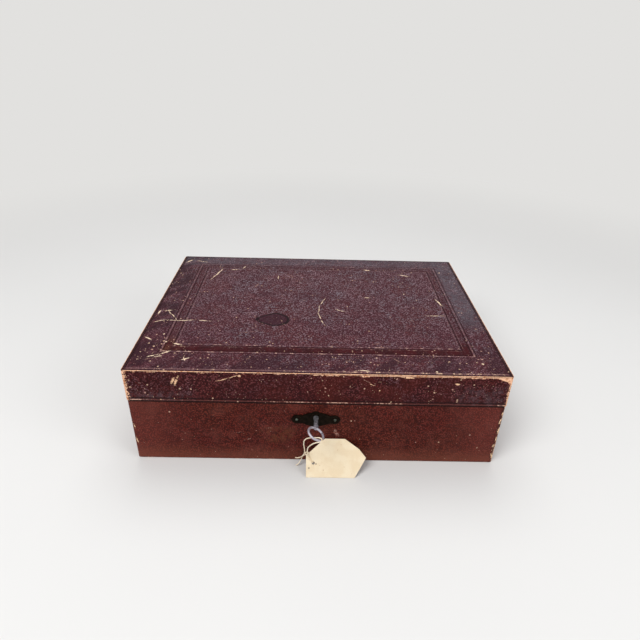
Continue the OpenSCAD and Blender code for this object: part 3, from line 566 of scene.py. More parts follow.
@dataclass(frozen=True)
class Leather(Finish):
    """Pebbled leather, mottled, with painted shade between its pebbles and a pale film on them that is
    partly painted sheen, rubbed on its grain, chipped along its edges and scratched.

    Attributes:
        shape: The outer size of what it covers.
        ground: Its main colour.
        warm: The colour of its warmer patches.
        deep: The colour of its dark patches, and the painted shade between the pebbles.
        bloom_and_sheen: The pale film on the tops of the pebbles, partly painted sheen.
        cool: The same film where it is greyer, also partly painted sheen.
        film: How strong that film is.
        patches: How strong the dark patches are.
        flecks: The share of small places where the grain is rubbed off.
        grain: Size of a pebble in millimetres.
        shine: The shader's specular level.
        edges: Wear along edges.
        scratches: Scratches and chips down to the raw leather.
        scuffs: Fainter marks.
        relief: Depth of the grain in millimetres.
        roughness: The shader's roughness.
        marked: The face that the scratches are on.
        cut: The colour of a scratch.
    """

    shape: Shape
    ground: Colour
    warm: Colour
    deep: Colour
    bloom_and_sheen: Colour
    cool: Colour
    film: float
    patches: float
    flecks: float
    grain: float
    shine: float
    edges: tuple[EdgeWear, ...]
    scratches: tuple[Scratch, ...]
    scuffs: tuple[Scratch, ...]
    relief: float = 0.2
    roughness: float = 0.5
    marked: Face = Face.FRONT
    cut: Colour = srgb(236, 198, 160)

    def dress(self, paint: Paint) -> None:
        """Adds the leather's nodes.

        Args:
            paint: The material being made.
        """
        at = paint.place()
        away, chance = at.stirred(self.grain * 1.7, self.grain * 0.32).cells(self.grain)
        colour = self.extra(at, self._ground(at, away, chance))
        colour = self._flecked(at, colour)
        raw = self.worn_edges(at)
        x, y, z = at.along()
        face = place_at(x, y) if self.marked is Face.TOP else place_at(x, z)
        face = face.stirred(9.0, 1.2).stirred(1.6, 0.5)
        broken = at.mottle(1.5, 3.0, 0.7)
        faint = face.nearest(self.scuffs).rise(1.5, 0.4) * self._on_marked(at)
        colour = colour.toward(RUBBED, faint * broken.rise(0.44, 0.58) * 0.75)
        bare = at.mottle(2.5, 3.0).rise(0.32, 0.54).between(RAW_TAN, RAW_PALE)
        colour = colour.toward(bare, raw)
        frayed = (at.mottle(1.2, 3.0, 0.7) - 0.5) * 2.0
        cut = (face.nearest(self.scratches) + frayed).rise(1.3, 0.6) * self._on_marked(at)
        cut = cut * broken.rise(0.32, 0.44)
        colour = colour.toward(self.cut, cut)
        raw = raw.high(cut)
        height = (1 - away * away * 1.4) * (1 - raw * 0.8) + at.mottle(0.6, 2.0) * 0.2
        paint.finish(
            base_color=colour,
            roughness=self.roughness + raw * 0.3 + (at.mottle(24.0, 3.0) - 0.5) * 0.2,
            specular_IOR_level=self.shine,
            normal=paint.relief(height, self.relief),
        )

    def extra(self, at: Place, colour: Tint) -> Tint:
        """Colour changes of one piece alone.

        Args:
            at: The place.
            colour: The leather's colour so far.

        Returns:
            The changed colour.
        """
        return colour

    def crowd(self, at: Place) -> Signal | float:
        """Where the rubbed flecks crowd together, from 0 to 1."""
        return 0.5

    def distance(self, at: Place, face: Face) -> Signal:
        """How far a place lies in from one face, in millimetres.

        Args:
            at: The place.
            face: The face.

        Returns:
            The distance, below 0 outside the face.
        """
        x, y, z = at.along()
        half = self.shape.width / 2
        made = {
            Face.LEFT: lambda: x + half,
            Face.RIGHT: lambda: half - x,
            Face.FRONT: lambda: y - self.shape.front,
            Face.BACK: lambda: self.shape.back - y,
            Face.TOP: lambda: self.shape.high - z,
            Face.BOTTOM: lambda: z - self.shape.low,
        }
        return made[face]()

    def spared(self, at: Place) -> Signal | float:
        """How much narrower the wear along an edge is at a place, in millimetres."""
        return 0.0

    def _on_marked(self, at: Place) -> Signal:
        """1 on the face that carries the scratches, 0 elsewhere."""
        return self.distance(at, self.marked).rise(1.4, 0.9)

    def _ground(self, at: Place, away: Signal, chance: Signal) -> Tint:
        """The leather's colour without wear, with painted shade between the pebbles and a pale film on
        their tops that is partly painted sheen.

        Args:
            at: The place.
            away: Distance from the middle of the nearest pebble.
            chance: A random number a pebble.

        Returns:
            The colour.
        """
        colour = at.mottle(55.0, 4.0, 0.6).rise(0.42, 0.6).between(self.ground, self.warm)
        smear = (at * (0.8, 1.7, 1.0)).mottle(24.0, 4.0, 0.62)
        colour = colour.toward(self.deep, smear.rise(0.5, 0.66) * self.patches)
        # Painted shade in the crevices between the pebbles.
        colour = colour.toward(self.deep, away.rise(0.3, 0.6) * 0.85)
        # A pale film on the pebbles' tops, partly painted sheen.
        bloom_and_sheen_tint = at.mottle(30.0, 4.0, 0.6).rise(0.42, 0.6).between(self.bloom_and_sheen, self.cool)
        thick = at.mottle(17.0, 5.0, 0.65).rise(0.34, 0.66) * 0.6 + 0.4
        pebble_top = (0.1 + chance * 0.44 - away).rise(-0.16, 0.14)
        return colour.toward(bloom_and_sheen_tint, pebble_top * thick * self.bloom_and_sheen_share(at))

    def bloom_and_sheen_share(self, at: Place) -> Signal | float:
        """How strong the pale film, partly painted sheen, is at a place."""
        return self.film

    def _flecked(self, at: Place, colour: Tint) -> Tint:
        """The colour with flecks where the grain is rubbed off.

        Args:
            at: The place.
            colour: The colour so far.

        Returns:
            The changed colour.
        """
        crowded = at.mottle(15.0, 4.0, 0.6).rise(0.4, 0.64) * 0.6 + self.crowd(at) * 0.4
        rubbed = (at.mottle(6.0, 2.0).rise(0.45, 0.55) * 0.7).between(RUBBED, srgb(224, 190, 156))
        for size, amount in ((3.2, 0.8), (1.7, 0.55)):
            near, chance = at.stirred(size * 0.5, size * 0.24).cells(size)
            share = self.flecks * (0.25 + crowded * 1.5)
            chosen = (share - chance).rise(0.0, 0.03)
            fleck = (0.2 + crowded.low(1.2) * 0.14 - near).rise(0.0, 0.1) * chosen
            colour = colour.toward(rubbed, fleck * amount)
        return colour

    def worn_edges(self, at: Place) -> Signal:
        """Where the edges are worn to the raw leather, from 0 to 1.

        Args:
            at: The place.

        Returns:
            The worn share.
        """
        teeth = (at.mottle(1.6, 3.0, 0.7) - 0.5) * 2
        runs = at.mottle(8.0, 4.0, 0.7)
        raw: Signal | None = None
        spared = self.spared(at)
        for wear in self.edges:
            away = self.distance(at, wear.first).high(self.distance(at, wear.second)) + spared
            here = (away + teeth * wear.ragged).rise(wear.width, wear.width * 0.55)
            if wear.cover < 1:
                limit = 0.68 - 0.36 * wear.cover
                here = here * runs.rise(limit - 0.02, limit + 0.03)
            raw = here if raw is None else raw.high(here)
        return raw


@dataclass(frozen=True)
class TopLeather(Leather):
    """The lid's top: the same leather under more film, which is partly painted grey sheen, with the tooled
    bands, a painted sheen at the right and the back, and a dark stain.

    Attributes:
        stain: Middle of the stain.
        stain_size: Half its length and half its width, in millimetres.
    """

    ground: Colour = srgb(84, 43, 51)
    warm: Colour = srgb(89, 41, 45)
    deep: Colour = srgb(54, 26, 33)
    # The grey film on the top is partly painted sheen, a reflection of the pale surroundings.
    bloom_and_sheen: Colour = srgb(151, 126, 134)
    cool: Colour = srgb(138, 129, 137)
    film: float = 0.77
    patches: float = 0.45
    flecks: float = 0.11
    grain: float = 1.6
    shine: float = 0.05
    edges: tuple[EdgeWear, ...] = (
        EdgeWear(Face.FRONT, Face.TOP, 0.55, 0.25, 1.0),
        EdgeWear(Face.LEFT, Face.TOP, 0.75, 0.5, 0.9),
        EdgeWear(Face.RIGHT, Face.TOP, 0.8, 0.5, 0.94),
        EdgeWear(Face.BACK, Face.TOP, 0.5, 0.5, 0.6),
    )
    scratches: tuple[Scratch, ...] = scratched(
        (0.9, (-171, -45), (-158, -39.5), (-147, -40.5)),
        (1.25, (-147, -40.5), (-129, -39.2), (-111, -40.2)), (1.5, (-104.5, -39.5)),
        (1.8, (-169.5, -27), (-169, -20)), (1.7, (-164.5, -20), (-156, -18)),
        (1.1, (-159, -22), (-147, -40)), (1.7, (-129, 62), (-120, 92.5)),
        (1.7, (-108.5, 89.5), (-101.5, 91)), (1.0, (-95, 95.5), (-92.5, 100.5)),
        (2.0, (-169.5, 110), (-163, 120)), (1.0, (-158.5, 116.5), (-141.5, 112)),
        (0.9, (-49.5, 74.5), (-49, 64)), (0.9, (8, 17), (1.8, 0), (-0.3, -20), (6.5, -45)),
        (1.2, (20, -10), (27.5, -13.5)), (1.3, (54, 20.5), (59, 19.5)), (1.6, (58, 98), (65, 96)),
        (1.4, (101.5, 84.5), (116, 80)), (1.7, (134.5, 18), (139, 2)), (0.8, (116, -20), (136, -19.5)),
        (1.4, (100, 30.5)), (1.5, (105.5, -3)), (2.2, (154.5, 93.5)), (2.4, (152.5, -110.5)),
        (2.0, (107, -124)), (1.6, (-170, -74), (-163.5, -78.5)), (1.8, (-153, -68)), (2.1, (-147, -82)),
        (1.8, (-139, -84.5), (-132.5, -86.5)), (1.6, (-158.5, -108.5), (-148, -103.5), (-140, -98)),
        (1.2, (-152, -108), (-145, -106)), (1.2, (-126.5, -112.8), (-119.5, -108.8)),
        (0.9, (-124.5, -107.5), (-122, -113.5)), (1.3, (34.5, -124), (47, -124.5)),
    )
    scuffs: tuple[Scratch, ...] = scratched(
        (0.9, (-45, 70), (-31, 72)), (1.0, (-37, 79.5), (-30.5, 73)), (1.6, (-82, 102)),
        (1.5, (-74.5, 42), (-71.5, 51)), (1.4, (-51, 37)), (1.3, (-138, 74)), (1.5, (-154, 56)),
        (1.3, (-120, 29)), (1.5, (20.5, -22)), (1.0, (94, 95), (103, 103)), (1.7, (99.5, -43.5)),
        (1.6, (113.5, -44.5)), (1.3, (26.5, -72)), (1.4, (54, -79), (60, -78)), (1.4, (70.5, -77.5)),
        (1.8, (133.5, -88)), (1.6, (69.5, -103), (76, -110)), (1.8, (-45.5, -13)),
        (1.4, (-64, -51), (-66, -44)), (1.1, (-78, -62.5), (-61.5, -59)), (1.6, (-156.5, -126)),
        (1.2, (-128, -106), (-119, -114)), (1.6, (-160, -112), (-152, -110)),
    )
    marked: Face = Face.TOP
    cut: Colour = srgb(240, 212, 182)
    stain: Point = (-47.7, -34.4)
    stain_size: Point = (18.0, 13.5)

    def bloom_and_sheen_share(self, at: Place) -> Signal:
        """The film, partly painted sheen, thins towards the front and the left, where hands have rubbed
        it.
        """
        x, y, _ = at.along()
        return (y.rise(-125.0, 70.0) * 0.52 + x.rise(-175.0, -60.0) * 0.34 + 0.26) * self.film

    def crowd(self, at: Place) -> Signal:
        """Flecks crowd towards the front and the left, most of all near the corner of the frames.

        Args:
            at: The place.

        Returns:
            The crowding, which may pass 1 by the corner.
        """
        x, y, _ = at.along()
        corner = abs(x + 148.0).rise(26.0, 8.0) * abs(y + 92.0).rise(24.0, 8.0)
        return (y.rise(-50.0, -110.0) * 0.75).high(x.rise(-110.0, -160.0) * 0.6) + corner * 1.3

    def extra(self, at: Place, colour: Tint) -> Tint:
        """The tooled bands, the worn lines beside them, a painted grey sheen at the right and the back,
        and the stain.

        Args:
            at: The place.
            colour: The colour so far.

        Returns:
            The changed colour.
        """
        x, y, _ = at.along()
        outer = self._inside(OUTER_FRAME, x, y)
        inner = self._inside(INNER_FRAME, x, y)
        at_front = y.rise(-70.0, -84.0)
        band = (outer.rise(0.2, 1.0) * inner.rise(0.2, -0.6)) * (0.3 + at_front * 0.7)
        red = at.mottle(12.0, 3.0).rise(0.4, 0.6).between(srgb(46, 7, 12), srgb(60, 13, 18))
        colour = colour.toward(red, band * (0.68 + at.mottle(3.0, 4.0).rise(0.3, 0.6) * 0.32))
        margin = outer.rise(-1.0, -6.0)
        lean = place_at((x + y) * 0.4, (y - x) * 1.2)
        dark = lean.mottle(26.0, 4.0, 0.6).rise(0.42, 0.58)
        handled = x.rise(-120.0, -150.0).high(y.rise(-84.0, -96.0) * 0.7)
        colour = colour.toward(srgb(42, 18, 27), margin * dark * (0.28 + handled * 0.5))
        # Painted sheen: a grey haze along the right margin and over the strip at the back.
        sheen_haze = x.rise(144.0, 156.0) * y.rise(-62.0, -20.0) + y.rise(96.0, 114.0) * 0.8
        thin = at.mottle(4.5, 5.0, 0.75).rise(0.3, 0.66)
        colour = colour.toward(srgb(90, 88, 96), sheen_haze.low(1.0) * (thin * 0.56 + 0.06))
        at_left = x.rise(-130.0, -134.0) * y.rise(-42.0, -50.0)
        worn = at.mottle(9.0, 3.0).rise(0.4, 0.6) * (at_left * band)
        colour = colour.toward(srgb(96, 56, 42), worn * 0.45)
        colour = self._lined(at, colour, outer, inner)
        return self._stained(at, self._edged(at, colour))

    def _inside(self, frame: TooledFrame, x: Signal, y: Signal) -> Signal:
        """How far a place lies inside a tooled frame.

        Args:
            frame: The frame.
            x: The place's distance to the right of the middle.
            y: Its distance behind the middle.

        Returns:
            The distance in millimetres, below 0 outside the frame.
        """
        across = (self.shape.width / 2 - frame.side) - abs(x)
        deep = (y - (self.shape.front + frame.front)).low((self.shape.back - frame.back) - y)
        return across.low(deep)

    def _lined(self, at: Place, colour: Tint, outer: Signal, inner: Signal) -> Tint:
        """Dark tooled lines, and the ridges beside them rubbed pale here and there.

        Args:
            at: The place.
            colour: The colour so far.
            outer: How far the place lies inside the outer frame.
            inner: How far it lies inside the inner one.

        Returns:
            The colour with the lines.
        """
        _, y, _ = at.along()
        fade = at.mottle(16.0, 3.0).rise(0.3, 0.5) * 0.5 + 0.5
        dark = self._line(outer, -DOUBLE_LINE, 0.75).high(self._line(outer, DOUBLE_LINE, 0.75))
        dark = dark.high(self._line(inner, 0.0, 0.85))
        colour = colour.toward(srgb(38, 16, 20), dark * fade * 0.85)
        ridge = self._line(outer, 0.0, 0.9).high(self._line(inner, 1.9, 0.8) * 0.8)
        ridge = ridge.high(self._line(inner, -1.7, 0.5) * 0.5)
        broken = at.mottle(4.0, 4.0, 0.75)
        at_front = y.rise(-70.0, -84.0)
        colour = colour.toward(srgb(140, 106, 110), ridge * (0.14 + broken.rise(0.4, 0.6) * 0.26))
        pale = ridge * broken.rise(0.54, 0.61) * (0.15 + at_front * 0.65)
        return colour.toward(srgb(208, 168, 150), pale)

    def _edged(self, at: Place, colour: Tint) -> Tint:
        """Darker leather along the arris, and the edge line rubbed pale along the front.

        Args:
            at: The place.
            colour: The colour so far.

        Returns:
            The changed colour.
        """
        x, _, _ = at.along()
        front = self.distance(at, Face.FRONT)
        side = self.shape.width / 2 - abs(x)
        back = self.distance(at, Face.BACK)
        # Darker close to the arris on the front, the sides and the back.
        arris_darkening = (side.rise(4.2, 3.0)).high(front.rise(2.2, 1.3)).high(back.rise(3.0, 2.0) * 0.6)
        colour = colour.toward(srgb(40, 18, 20), arris_darkening * 0.8)
        rubbed = (at.mottle(7.0, 5.0, 0.8) + x.rise(-60.0, 60.0) * 0.05).rise(0.57, 0.63)
        ridge = abs(front - EDGE_RIDGE).rise(0.9, 0.4) * side.rise(2.0, 5.0)
        colour = colour.toward(srgb(140, 104, 104), ridge * 0.4)
        return colour.toward(srgb(222, 186, 156), ridge * rubbed)

    @staticmethod
    def _line(inside: Signal, offset: float, half: float) -> Signal:
        """1 along a line that lies an offset inside a frame's edge."""
        return abs(inside - offset).rise(half, half * 0.4)

    def _stained(self, at: Place, colour: Tint) -> Tint:
        """A dark oval stain with a pointed left end and a darker rim.

        Args:
            at: The place.
            colour: The colour so far.

        Returns:
            The changed colour.
        """
        moved = at.stirred(9.0, 1.6) - (*self.stain, 0.0)
        x, y, _ = (moved * (1 / self.stain_size[0], 1 / self.stain_size[1], 0.0)).along()
        away = place_at(x, y * (1 + (0 - x).high(0.0) * 0.6)).length()
        colour = colour.toward(srgb(50, 20, 31), away.rise(1.0, 0.9) * 0.82)
        return colour.toward(srgb(22, 7, 12), abs(away - 0.92).rise(0.14, 0.04) * 0.9)


@dataclass(frozen=True)
class LidLeather(Leather):
    """The lid's walls, with painted shade along the joint, and a corner at the right of the front worn
    bare.
    """

    ground: Colour = srgb(70, 23, 25)
    warm: Colour = srgb(78, 24, 22)
    deep: Colour = srgb(42, 13, 15)
    bloom_and_sheen: Colour = srgb(138, 80, 82)
    cool: Colour = srgb(116, 88, 96)
    film: float = 0.5
    patches: float = 0.35
    flecks: float = 0.1
    grain: float = 1.5
    shine: float = 0.07
    edges: tuple[EdgeWear, ...] = (
        EdgeWear(Face.FRONT, Face.TOP, 0.85, 0.5),
        EdgeWear(Face.FRONT, Face.TOP, 1.9, 2.2, 0.42),
        *worn((Face.LEFT, Face.RIGHT), Face.TOP, 0.7, 0.7, 0.8),
        EdgeWear(Face.BACK, Face.TOP, 0.5, 0.7, 0.6),
        EdgeWear(Face.FRONT, Face.LEFT, 3.8, 7.0, 0.88),
        EdgeWear(Face.FRONT, Face.RIGHT, 2.8, 5.5, 0.85),
        *worn((Face.LEFT, Face.RIGHT), Face.BACK, 1.4, 2.2, 0.7),
        *worn(SIDES_AND_BACK, Face.BOTTOM, 0.5, 0.7, 0.35),
    )
    scratches: tuple[Scratch, ...] = scratched(
        (2.2, (-131.8, 91.5), (-128.4, 98)), (2.4, (-128.6, 90.6), (-125.4, 98.8)),
        (0.9, (-91, 95), (-80.5, 98), (-72, 101.5)), (2.6, (-70.6, 101.2)),
        (2.2, (77, 103), (84.5, 102.4)), (1.1, (47, 94.5), (50, 93)), (1.2, (56, 87.5)),
        (1.8, (124.6, 96.6), (127, 96)), (1.1, (-131, 74.6)), (1.3, (-143.5, 73)),
    )
    scuffs: tuple[Scratch, ...] = scratched(
        (1.0, (-83.5, 83), (-83, 79.5)), (0.9, (40, 100), (47, 96)), (1.1, (-20, 88)), (1.0, (12, 92)),
        (0.9, (150, 98), (154, 95)),
    )
    cut: Colour = srgb(234, 188, 150)

    def bloom_and_sheen_share(self, at: Place) -> Signal:
        """The film thins towards the joint."""
        return ((at.along()[2] - self.shape.low).rise(3.0, 13.0) * 0.55 + 0.45) * self.film

    def extra(self, at: Place, colour: Tint) -> Tint:
        """Painted shade along the joint, a dark line above it, broken pale lines along the lower lip, and
        cool and warm patches.

        Args:
            at: The place.
            colour: The colour so far.

        Returns:
            The changed colour.
        """
        x, _, z = at.along()
        up = z - self.shape.low
        warm = abs(x - 40.0).rise(150.0, 20.0) * at.mottle(26.0, 3.0).rise(0.4, 0.6)
        colour = colour.toward(srgb(74, 26, 20), warm * 0.45)
        left = x.rise(-105.0, -125.0) * up.rise(15.0, 5.0)
        right = x.rise(118.0, 140.0) * up.rise(26.0, 14.0)
        grey = left.high(right) * at.mottle(4.0, 5.0, 0.7).rise(0.4, 0.66)
        colour = colour.toward(srgb(98, 80, 86), grey * 0.42)
        # Painted shade in the gap at the joint, along the lid's lower edge, and a dark line 3.6 mm above
        # that edge.
        dark = up.rise(1.2, 0.6).high(abs(up - 3.6).rise(1.1, 0.4) * 0.8)
        colour = colour.toward(srgb(24, 8, 10), dark * 0.88)
        broken = at.mottle(20.0, 2.0) * 0.5 + at.mottle(2.6, 4.0, 0.75) * 0.5
        lip = abs(up - 1.6).rise(0.62, 0.3)
        colour = colour.toward(srgb(126, 80, 72), lip * 0.4)
        shown = abs(x - 15.0).rise(18.0, 10.0).high(x.rise(140.0, 154.0)).high(x.rise(-150.0, -165.0))
        limit = broken + shown * 0.05
        return colour.toward(srgb(226, 180, 158), lip * limit.rise(0.54, 0.6) * 0.8)

    def spared(self, at: Place) -> Signal:
        """The arris of the front is worn less towards the left, short of the corner."""
        x, _, z = at.along()
        return x.rise(60.0, -40.0) * x.rise(-173.0, -166.0) * z.rise(97.0, 101.0) * 1.15

    def worn_edges(self, at: Place) -> Signal:
        """Worn edges, and a bare wedge that widens towards the right corner.

        Args:
            at: The place.

        Returns:
            The worn share.
        """
        raw = Leather.worn_edges(self, at)
        x, _, z = at.along()
        jag = (at.mottle(3.0, 3.0, 0.7) - 0.5) * 5
        wedge = ((z - 104.0) + (x - 156.0) * 0.36 + jag).rise(0.0, 0.6)
        on_front = self.distance(at, Face.FRONT).rise(2.5, 1.5)
        return raw.high(wedge * on_front * x.rise(156.0, 160.0))


@dataclass(frozen=True)
class BaseLeather(Leather):
    """The base's walls: smoother leather, with painted shade under the joint, and lighter towards the
    bottom.
    """

    ground: Colour = srgb(92, 27, 19)
    warm: Colour = srgb(88, 31, 17)
    deep: Colour = srgb(44, 10, 7)
    bloom_and_sheen: Colour = srgb(128, 62, 52)
    cool: Colour = srgb(112, 58, 56)
    film: float = 0.5
    patches: float = 0.2
    flecks: float = 0.03
    grain: float = 1.4
    shine: float = 0.1
    edges: tuple[EdgeWear, ...] = (
        EdgeWear(Face.FRONT, Face.RIGHT, 1.3, 2.2, 0.62),
        EdgeWear(Face.FRONT, Face.LEFT, 0.9, 1.7, 0.4),
        *worn((Face.RIGHT, Face.LEFT), Face.BACK, 0.9, 1.5, 0.5),
        *worn(SIDES_AND_BACK, Face.TOP, 0.5, 0.7, 0.3),
        EdgeWear(Face.FRONT, Face.BOTTOM, 0.8, 0.8, 0.2),
        *worn(SIDES_AND_BACK, Face.BOTTOM, 0.8, 0.8, 0.35),
    )
    scratches: tuple[Scratch, ...] = scratched(
        (1.8, (173.6, 63.5), (173, 60.5)), (1.7, (173.4, 56.5), (172.8, 51)),
        (1.6, (173.9, 45), (173.4, 38)), (1.4, (173.6, 33), (173, 29)), (2.3, (172.8, 24), (172, 18)),
        (2.5, (172.6, 13), (174, 6)), (1.1, (-173.6, 28), (-172, 19)), (0.9, (-173, 44), (-172.4, 38)),
    )
    scuffs: tuple[Scratch, ...] = scratched(
        (0.9, (-78, 34), (-71.5, 35)), (0.9, (-69.5, 25), (-62.5, 27)), (1.0, (-48, 40.5), (-40.5, 40.5)),
        (1.2, (-61.5, 41.5)), (1.3, (-161.5, 57)), (1.1, (-66, 67)), (1.2, (-100.5, 38)),
        (3.4, (17, 39), (19.5, 33)),
    )

    def extra(self, at: Place, colour: Tint) -> Tint:
        """Painted shade at the rim under the joint, faint clouds, a lighter foot and a browner patch.

        Args:
            at: The place.
            colour: The colour so far.

        Returns:
            The changed colour.
        """
        x, _, z = at.along()
        cloud = at.mottle(21.0, 4.0, 0.6)
        colour = colour.toward(srgb(108, 56, 48), cloud.rise(0.46, 0.66) * 0.28)
        colour = colour.toward(srgb(122, 58, 50), abs(x).rise(105.0, 172.0) * 0.3)
        colour = colour.toward(srgb(126, 70, 54), z.rise(22.0, 0.0) * 0.46)
        brown = place_at((x + 37.0) * 0.05, (z - 33.0) * 0.08).length().rise(1.2, 0.4)
        colour = colour.toward(srgb(96, 52, 34), brown * at.mottle(6.0, 3.0).rise(0.35, 0.6) * 0.6)
        rubbed = self.distance(at, Face.RIGHT).rise(5.0, 2.0) * at.mottle(5.0, 3.0).rise(0.36, 0.5)
        rubbed = rubbed * self.distance(at, Face.FRONT).rise(3.0, 1.5)
        colour = colour.toward(srgb(42, 14, 14), rubbed * 0.7)
        # Painted shade just under the rim, where the joint's gap is.
        down = self.shape.high - z
        return colour.toward(srgb(24, 9, 9), down.rise(1.5, 0.5) * 0.85)


@dataclass(frozen=True)
class Metal(Finish):
    """Metal that has dulled with age.

    Attributes:
        clean: Colour of the rubbed metal.
        tarnish: Colour of the tarnish.
        tarnished: Share of the surface under tarnish.
        roughness: The shader's roughness on clean metal.
        metallic: How much of a metal the surface is.
        shine: The shader's specular level, which counts where the surface is less of a metal.
    """

    clean: Colour = srgb(196, 160, 92)
    tarnish: Colour = srgb(104, 76, 42)
    tarnished: float = 0.5
    roughness: float = 0.32
    metallic: float = 1.0
    shine: float = 0.5

    def dress(self, paint: Paint) -> None:
        """Adds the metal's nodes.

        Args:
            paint: The material being made.
        """
        at = paint.place()
        start = 0.7 - 0.5 * self.tarnished
        dull = at.mottle(4.0, 5.0, 0.65).rise(start, start + 0.25)
        fine = at.mottle(0.5, 3.0)
        paint.finish(
            base_color=self.coloured(at, dull),
            metallic=self.metallic,
            specular_IOR_level=self.shine,
            roughness=self.roughness + dull * 0.25 + (fine - 0.5) * 0.2,
            normal=paint.relief(fine, 0.02),
        )

    def coloured(self, at: Place, dull: Signal) -> Tint:
        """The metal's colour under its tarnish."""
        return dull.between(self.clean, self.tarnish)


@dataclass(frozen=True)
class KeySteel(Metal):
    """The key's steel, grimy along its shank."""

    def coloured(self, at: Place, dull: Signal) -> Tint:
        """The steel's colour, darker towards the keyhole."""
        grimy = at.along()[1].rise(-149.0, -141.0) * at.mottle(1.3, 3.0).rise(0.3, 0.55)
        return Metal.coloured(self, at, dull).toward(srgb(74, 78, 76), grimy * 0.8)


@dataclass(frozen=True)
class Wood(Finish):
    """Plain or polished wood with its grain along one axis.

    Attributes:
        early: Colour of the pale growth.
        late: Colour of the dark growth.
        axis: The way that the grain runs.
        ring: Distance between rings in millimetres.
        roughness: The shader's roughness.
        coat: Weight of the polish.
        drawn_out: Scale of the pattern along the grain.
    """

    early: Colour = srgb(203, 168, 122)
    late: Colour = srgb(158, 116, 74)
    axis: Axis = Axis.X
    ring: float = 2.6
    roughness: float = 0.62
    coat: float = 0.0
    drawn_out: float = 0.045

    def dress(self, paint: Paint) -> None:
        """Adds the wood's nodes.

        Args:
            paint: The material being made.
        """
        at = self.grained(paint)
        rings = at.mottle(self.ring, 4.0, 0.6)
        pores = at.mottle(self.ring * 0.16, 2.0)
        colour = rings.rise(0.42, 0.62).between(self.early, self.late)
        colour = colour.toward(self.late, pores.rise(0.55, 0.75) * 0.5)
        paint.finish(
            base_color=colour,
            roughness=self.roughness + (rings - 0.5) * 0.12,
            coat_weight=self.coat,
            normal=paint.relief(pores, 0.04),
        )

    def grained(self, paint: Paint) -> Place:
        """Places drawn out along the grain.

        Args:
            paint: The material being made.

        Returns:
            The drawn-out places.
        """
        stretch = [1.0, 1.0, 1.0]
        stretch[self.axis.value] = self.drawn_out
        return paint.place() * tuple(stretch)


@dataclass(frozen=True)
class MitredWood(Wood):
    """Moulding mitred round a frame, its grain along each of the four lengths.

    Attributes:
        shape: The frame's outer size.
    """

    shape: Shape = field(kw_only=True)

    def grained(self, paint: Paint) -> Place:
        """Places drawn out along the near length of moulding.

        Args:
            paint: The material being made.

        Returns:
            The drawn-out places.
        """
        at = paint.place()
        x, y, z = at.along()
        from_side = self.shape.width / 2 - abs(x)
        from_end = (y - self.shape.front).low(self.shape.back - y)
        crossed = (from_end - from_side).rise(-0.1, 0.1)
        squeezed = crossed * (1 - self.drawn_out)
        return place_at(x * (squeezed + self.drawn_out), y * (1 - squeezed), z)


@dataclass(frozen=True)
class Silk(Finish):
    """Faded silk with a fine weave.

    Attributes:
        ground: Its main colour.
        faded: The colour where it has faded.
        thread: Distance between threads in millimetres.
        roughness: The shader's roughness.
    """

    ground: Colour = srgb(150, 74, 74)
    faded: Colour = srgb(178, 112, 104)
    thread: float = 0.34
    roughness: float = 0.5

    def dress(self, paint: Paint) -> None:
        """Adds the silk's nodes.

        Args:
            paint: The material being made.
        """
        at = paint.place()
        x, y, z = at.along()
        turn = 2 * math.pi / self.thread
        weave = ((x + z) * turn).wave() * 0.5 + ((y - z) * turn).wave() * 0.5
        worn = at.mottle(46.0, 3.0, 0.5).rise(0.34, 0.7) * 0.8
        slub = (at * (0.2, 1.0, 1.0)).mottle(0.7, 3.0)
        colour = worn.between(self.ground, self.faded)
        colour = colour.toward(self.ground, slub.rise(0.5, 0.7) * 0.35)
        paint.finish(
            base_color=colour,
            roughness=self.roughness,
            sheen_weight=0.35,
            sheen_roughness=0.4,
            normal=paint.relief(weave * 0.5 + slub * 0.4, 0.05),
        )


@dataclass(frozen=True)
class Velvet(Finish):
    """Deep velvet, its pile crushed in places.

    Attributes:
        pile: The colour looking into the pile.
        crushed: The colour where the pile lies over.
    """

    pile: Colour = srgb(92, 20, 30)
    crushed: Colour = srgb(124, 40, 48)

    def dress(self, paint: Paint) -> None:
        """Adds the velvet's nodes.

        Args:
            paint: The material being made.
        """
        at = paint.place()
        lie = (at * (1.0, 0.6, 1.0)).mottle(34.0, 3.0, 0.5)
        tufts = at.mottle(0.45, 3.0)
        colour = (lie.rise(0.34, 0.7) * 0.6).between(self.pile, self.crushed)
        colour = colour.toward(srgb(54, 10, 16), tufts.rise(0.6, 0.35) * 0.6)
        paint.finish(
            base_color=colour,
            roughness=0.95,
            specular_IOR_level=0.12,
            sheen_weight=0.9,
            sheen_roughness=0.35,
            sheen_tint=srgb(190, 96, 104),
            normal=paint.relief(tufts + lie * 0.5, 0.12),
        )


@dataclass(frozen=True)
class BookCloth(Finish):
    """Dark book cloth with a plain weave, rubbed where the case has slid about.

    Attributes:
        ground: Its main colour.
        rubbed: The colour where it is rubbed.
        thread: Distance between threads in millimetres.
    """

    ground: Colour = srgb(44, 34, 31)
    rubbed: Colour = srgb(84, 70, 62)
    thread: float = 0.6

    def dress(self, paint: Paint) -> None:
        """Adds the cloth's nodes.

        Args:
            paint: The material being made.
        """
        at = paint.place()
        x, y, _ = at.along()
        turn = 2 * math.pi / self.thread
        weave = (x * turn).wave() * (y * turn).wave()
        worn = (at * (0.4, 1.0, 1.0)).mottle(14.0, 4.0, 0.65).rise(0.52, 0.72)
        colour = (worn * 0.6).between(self.ground, self.rubbed)
        colour = colour.toward(srgb(24, 18, 16), weave.rise(0.2, -0.7) * 0.5)
        relief = paint.relief(weave * 0.5 + 0.5, 0.08)
        paint.finish(base_color=colour, roughness=0.9, specular_IOR_level=0.15, normal=relief)


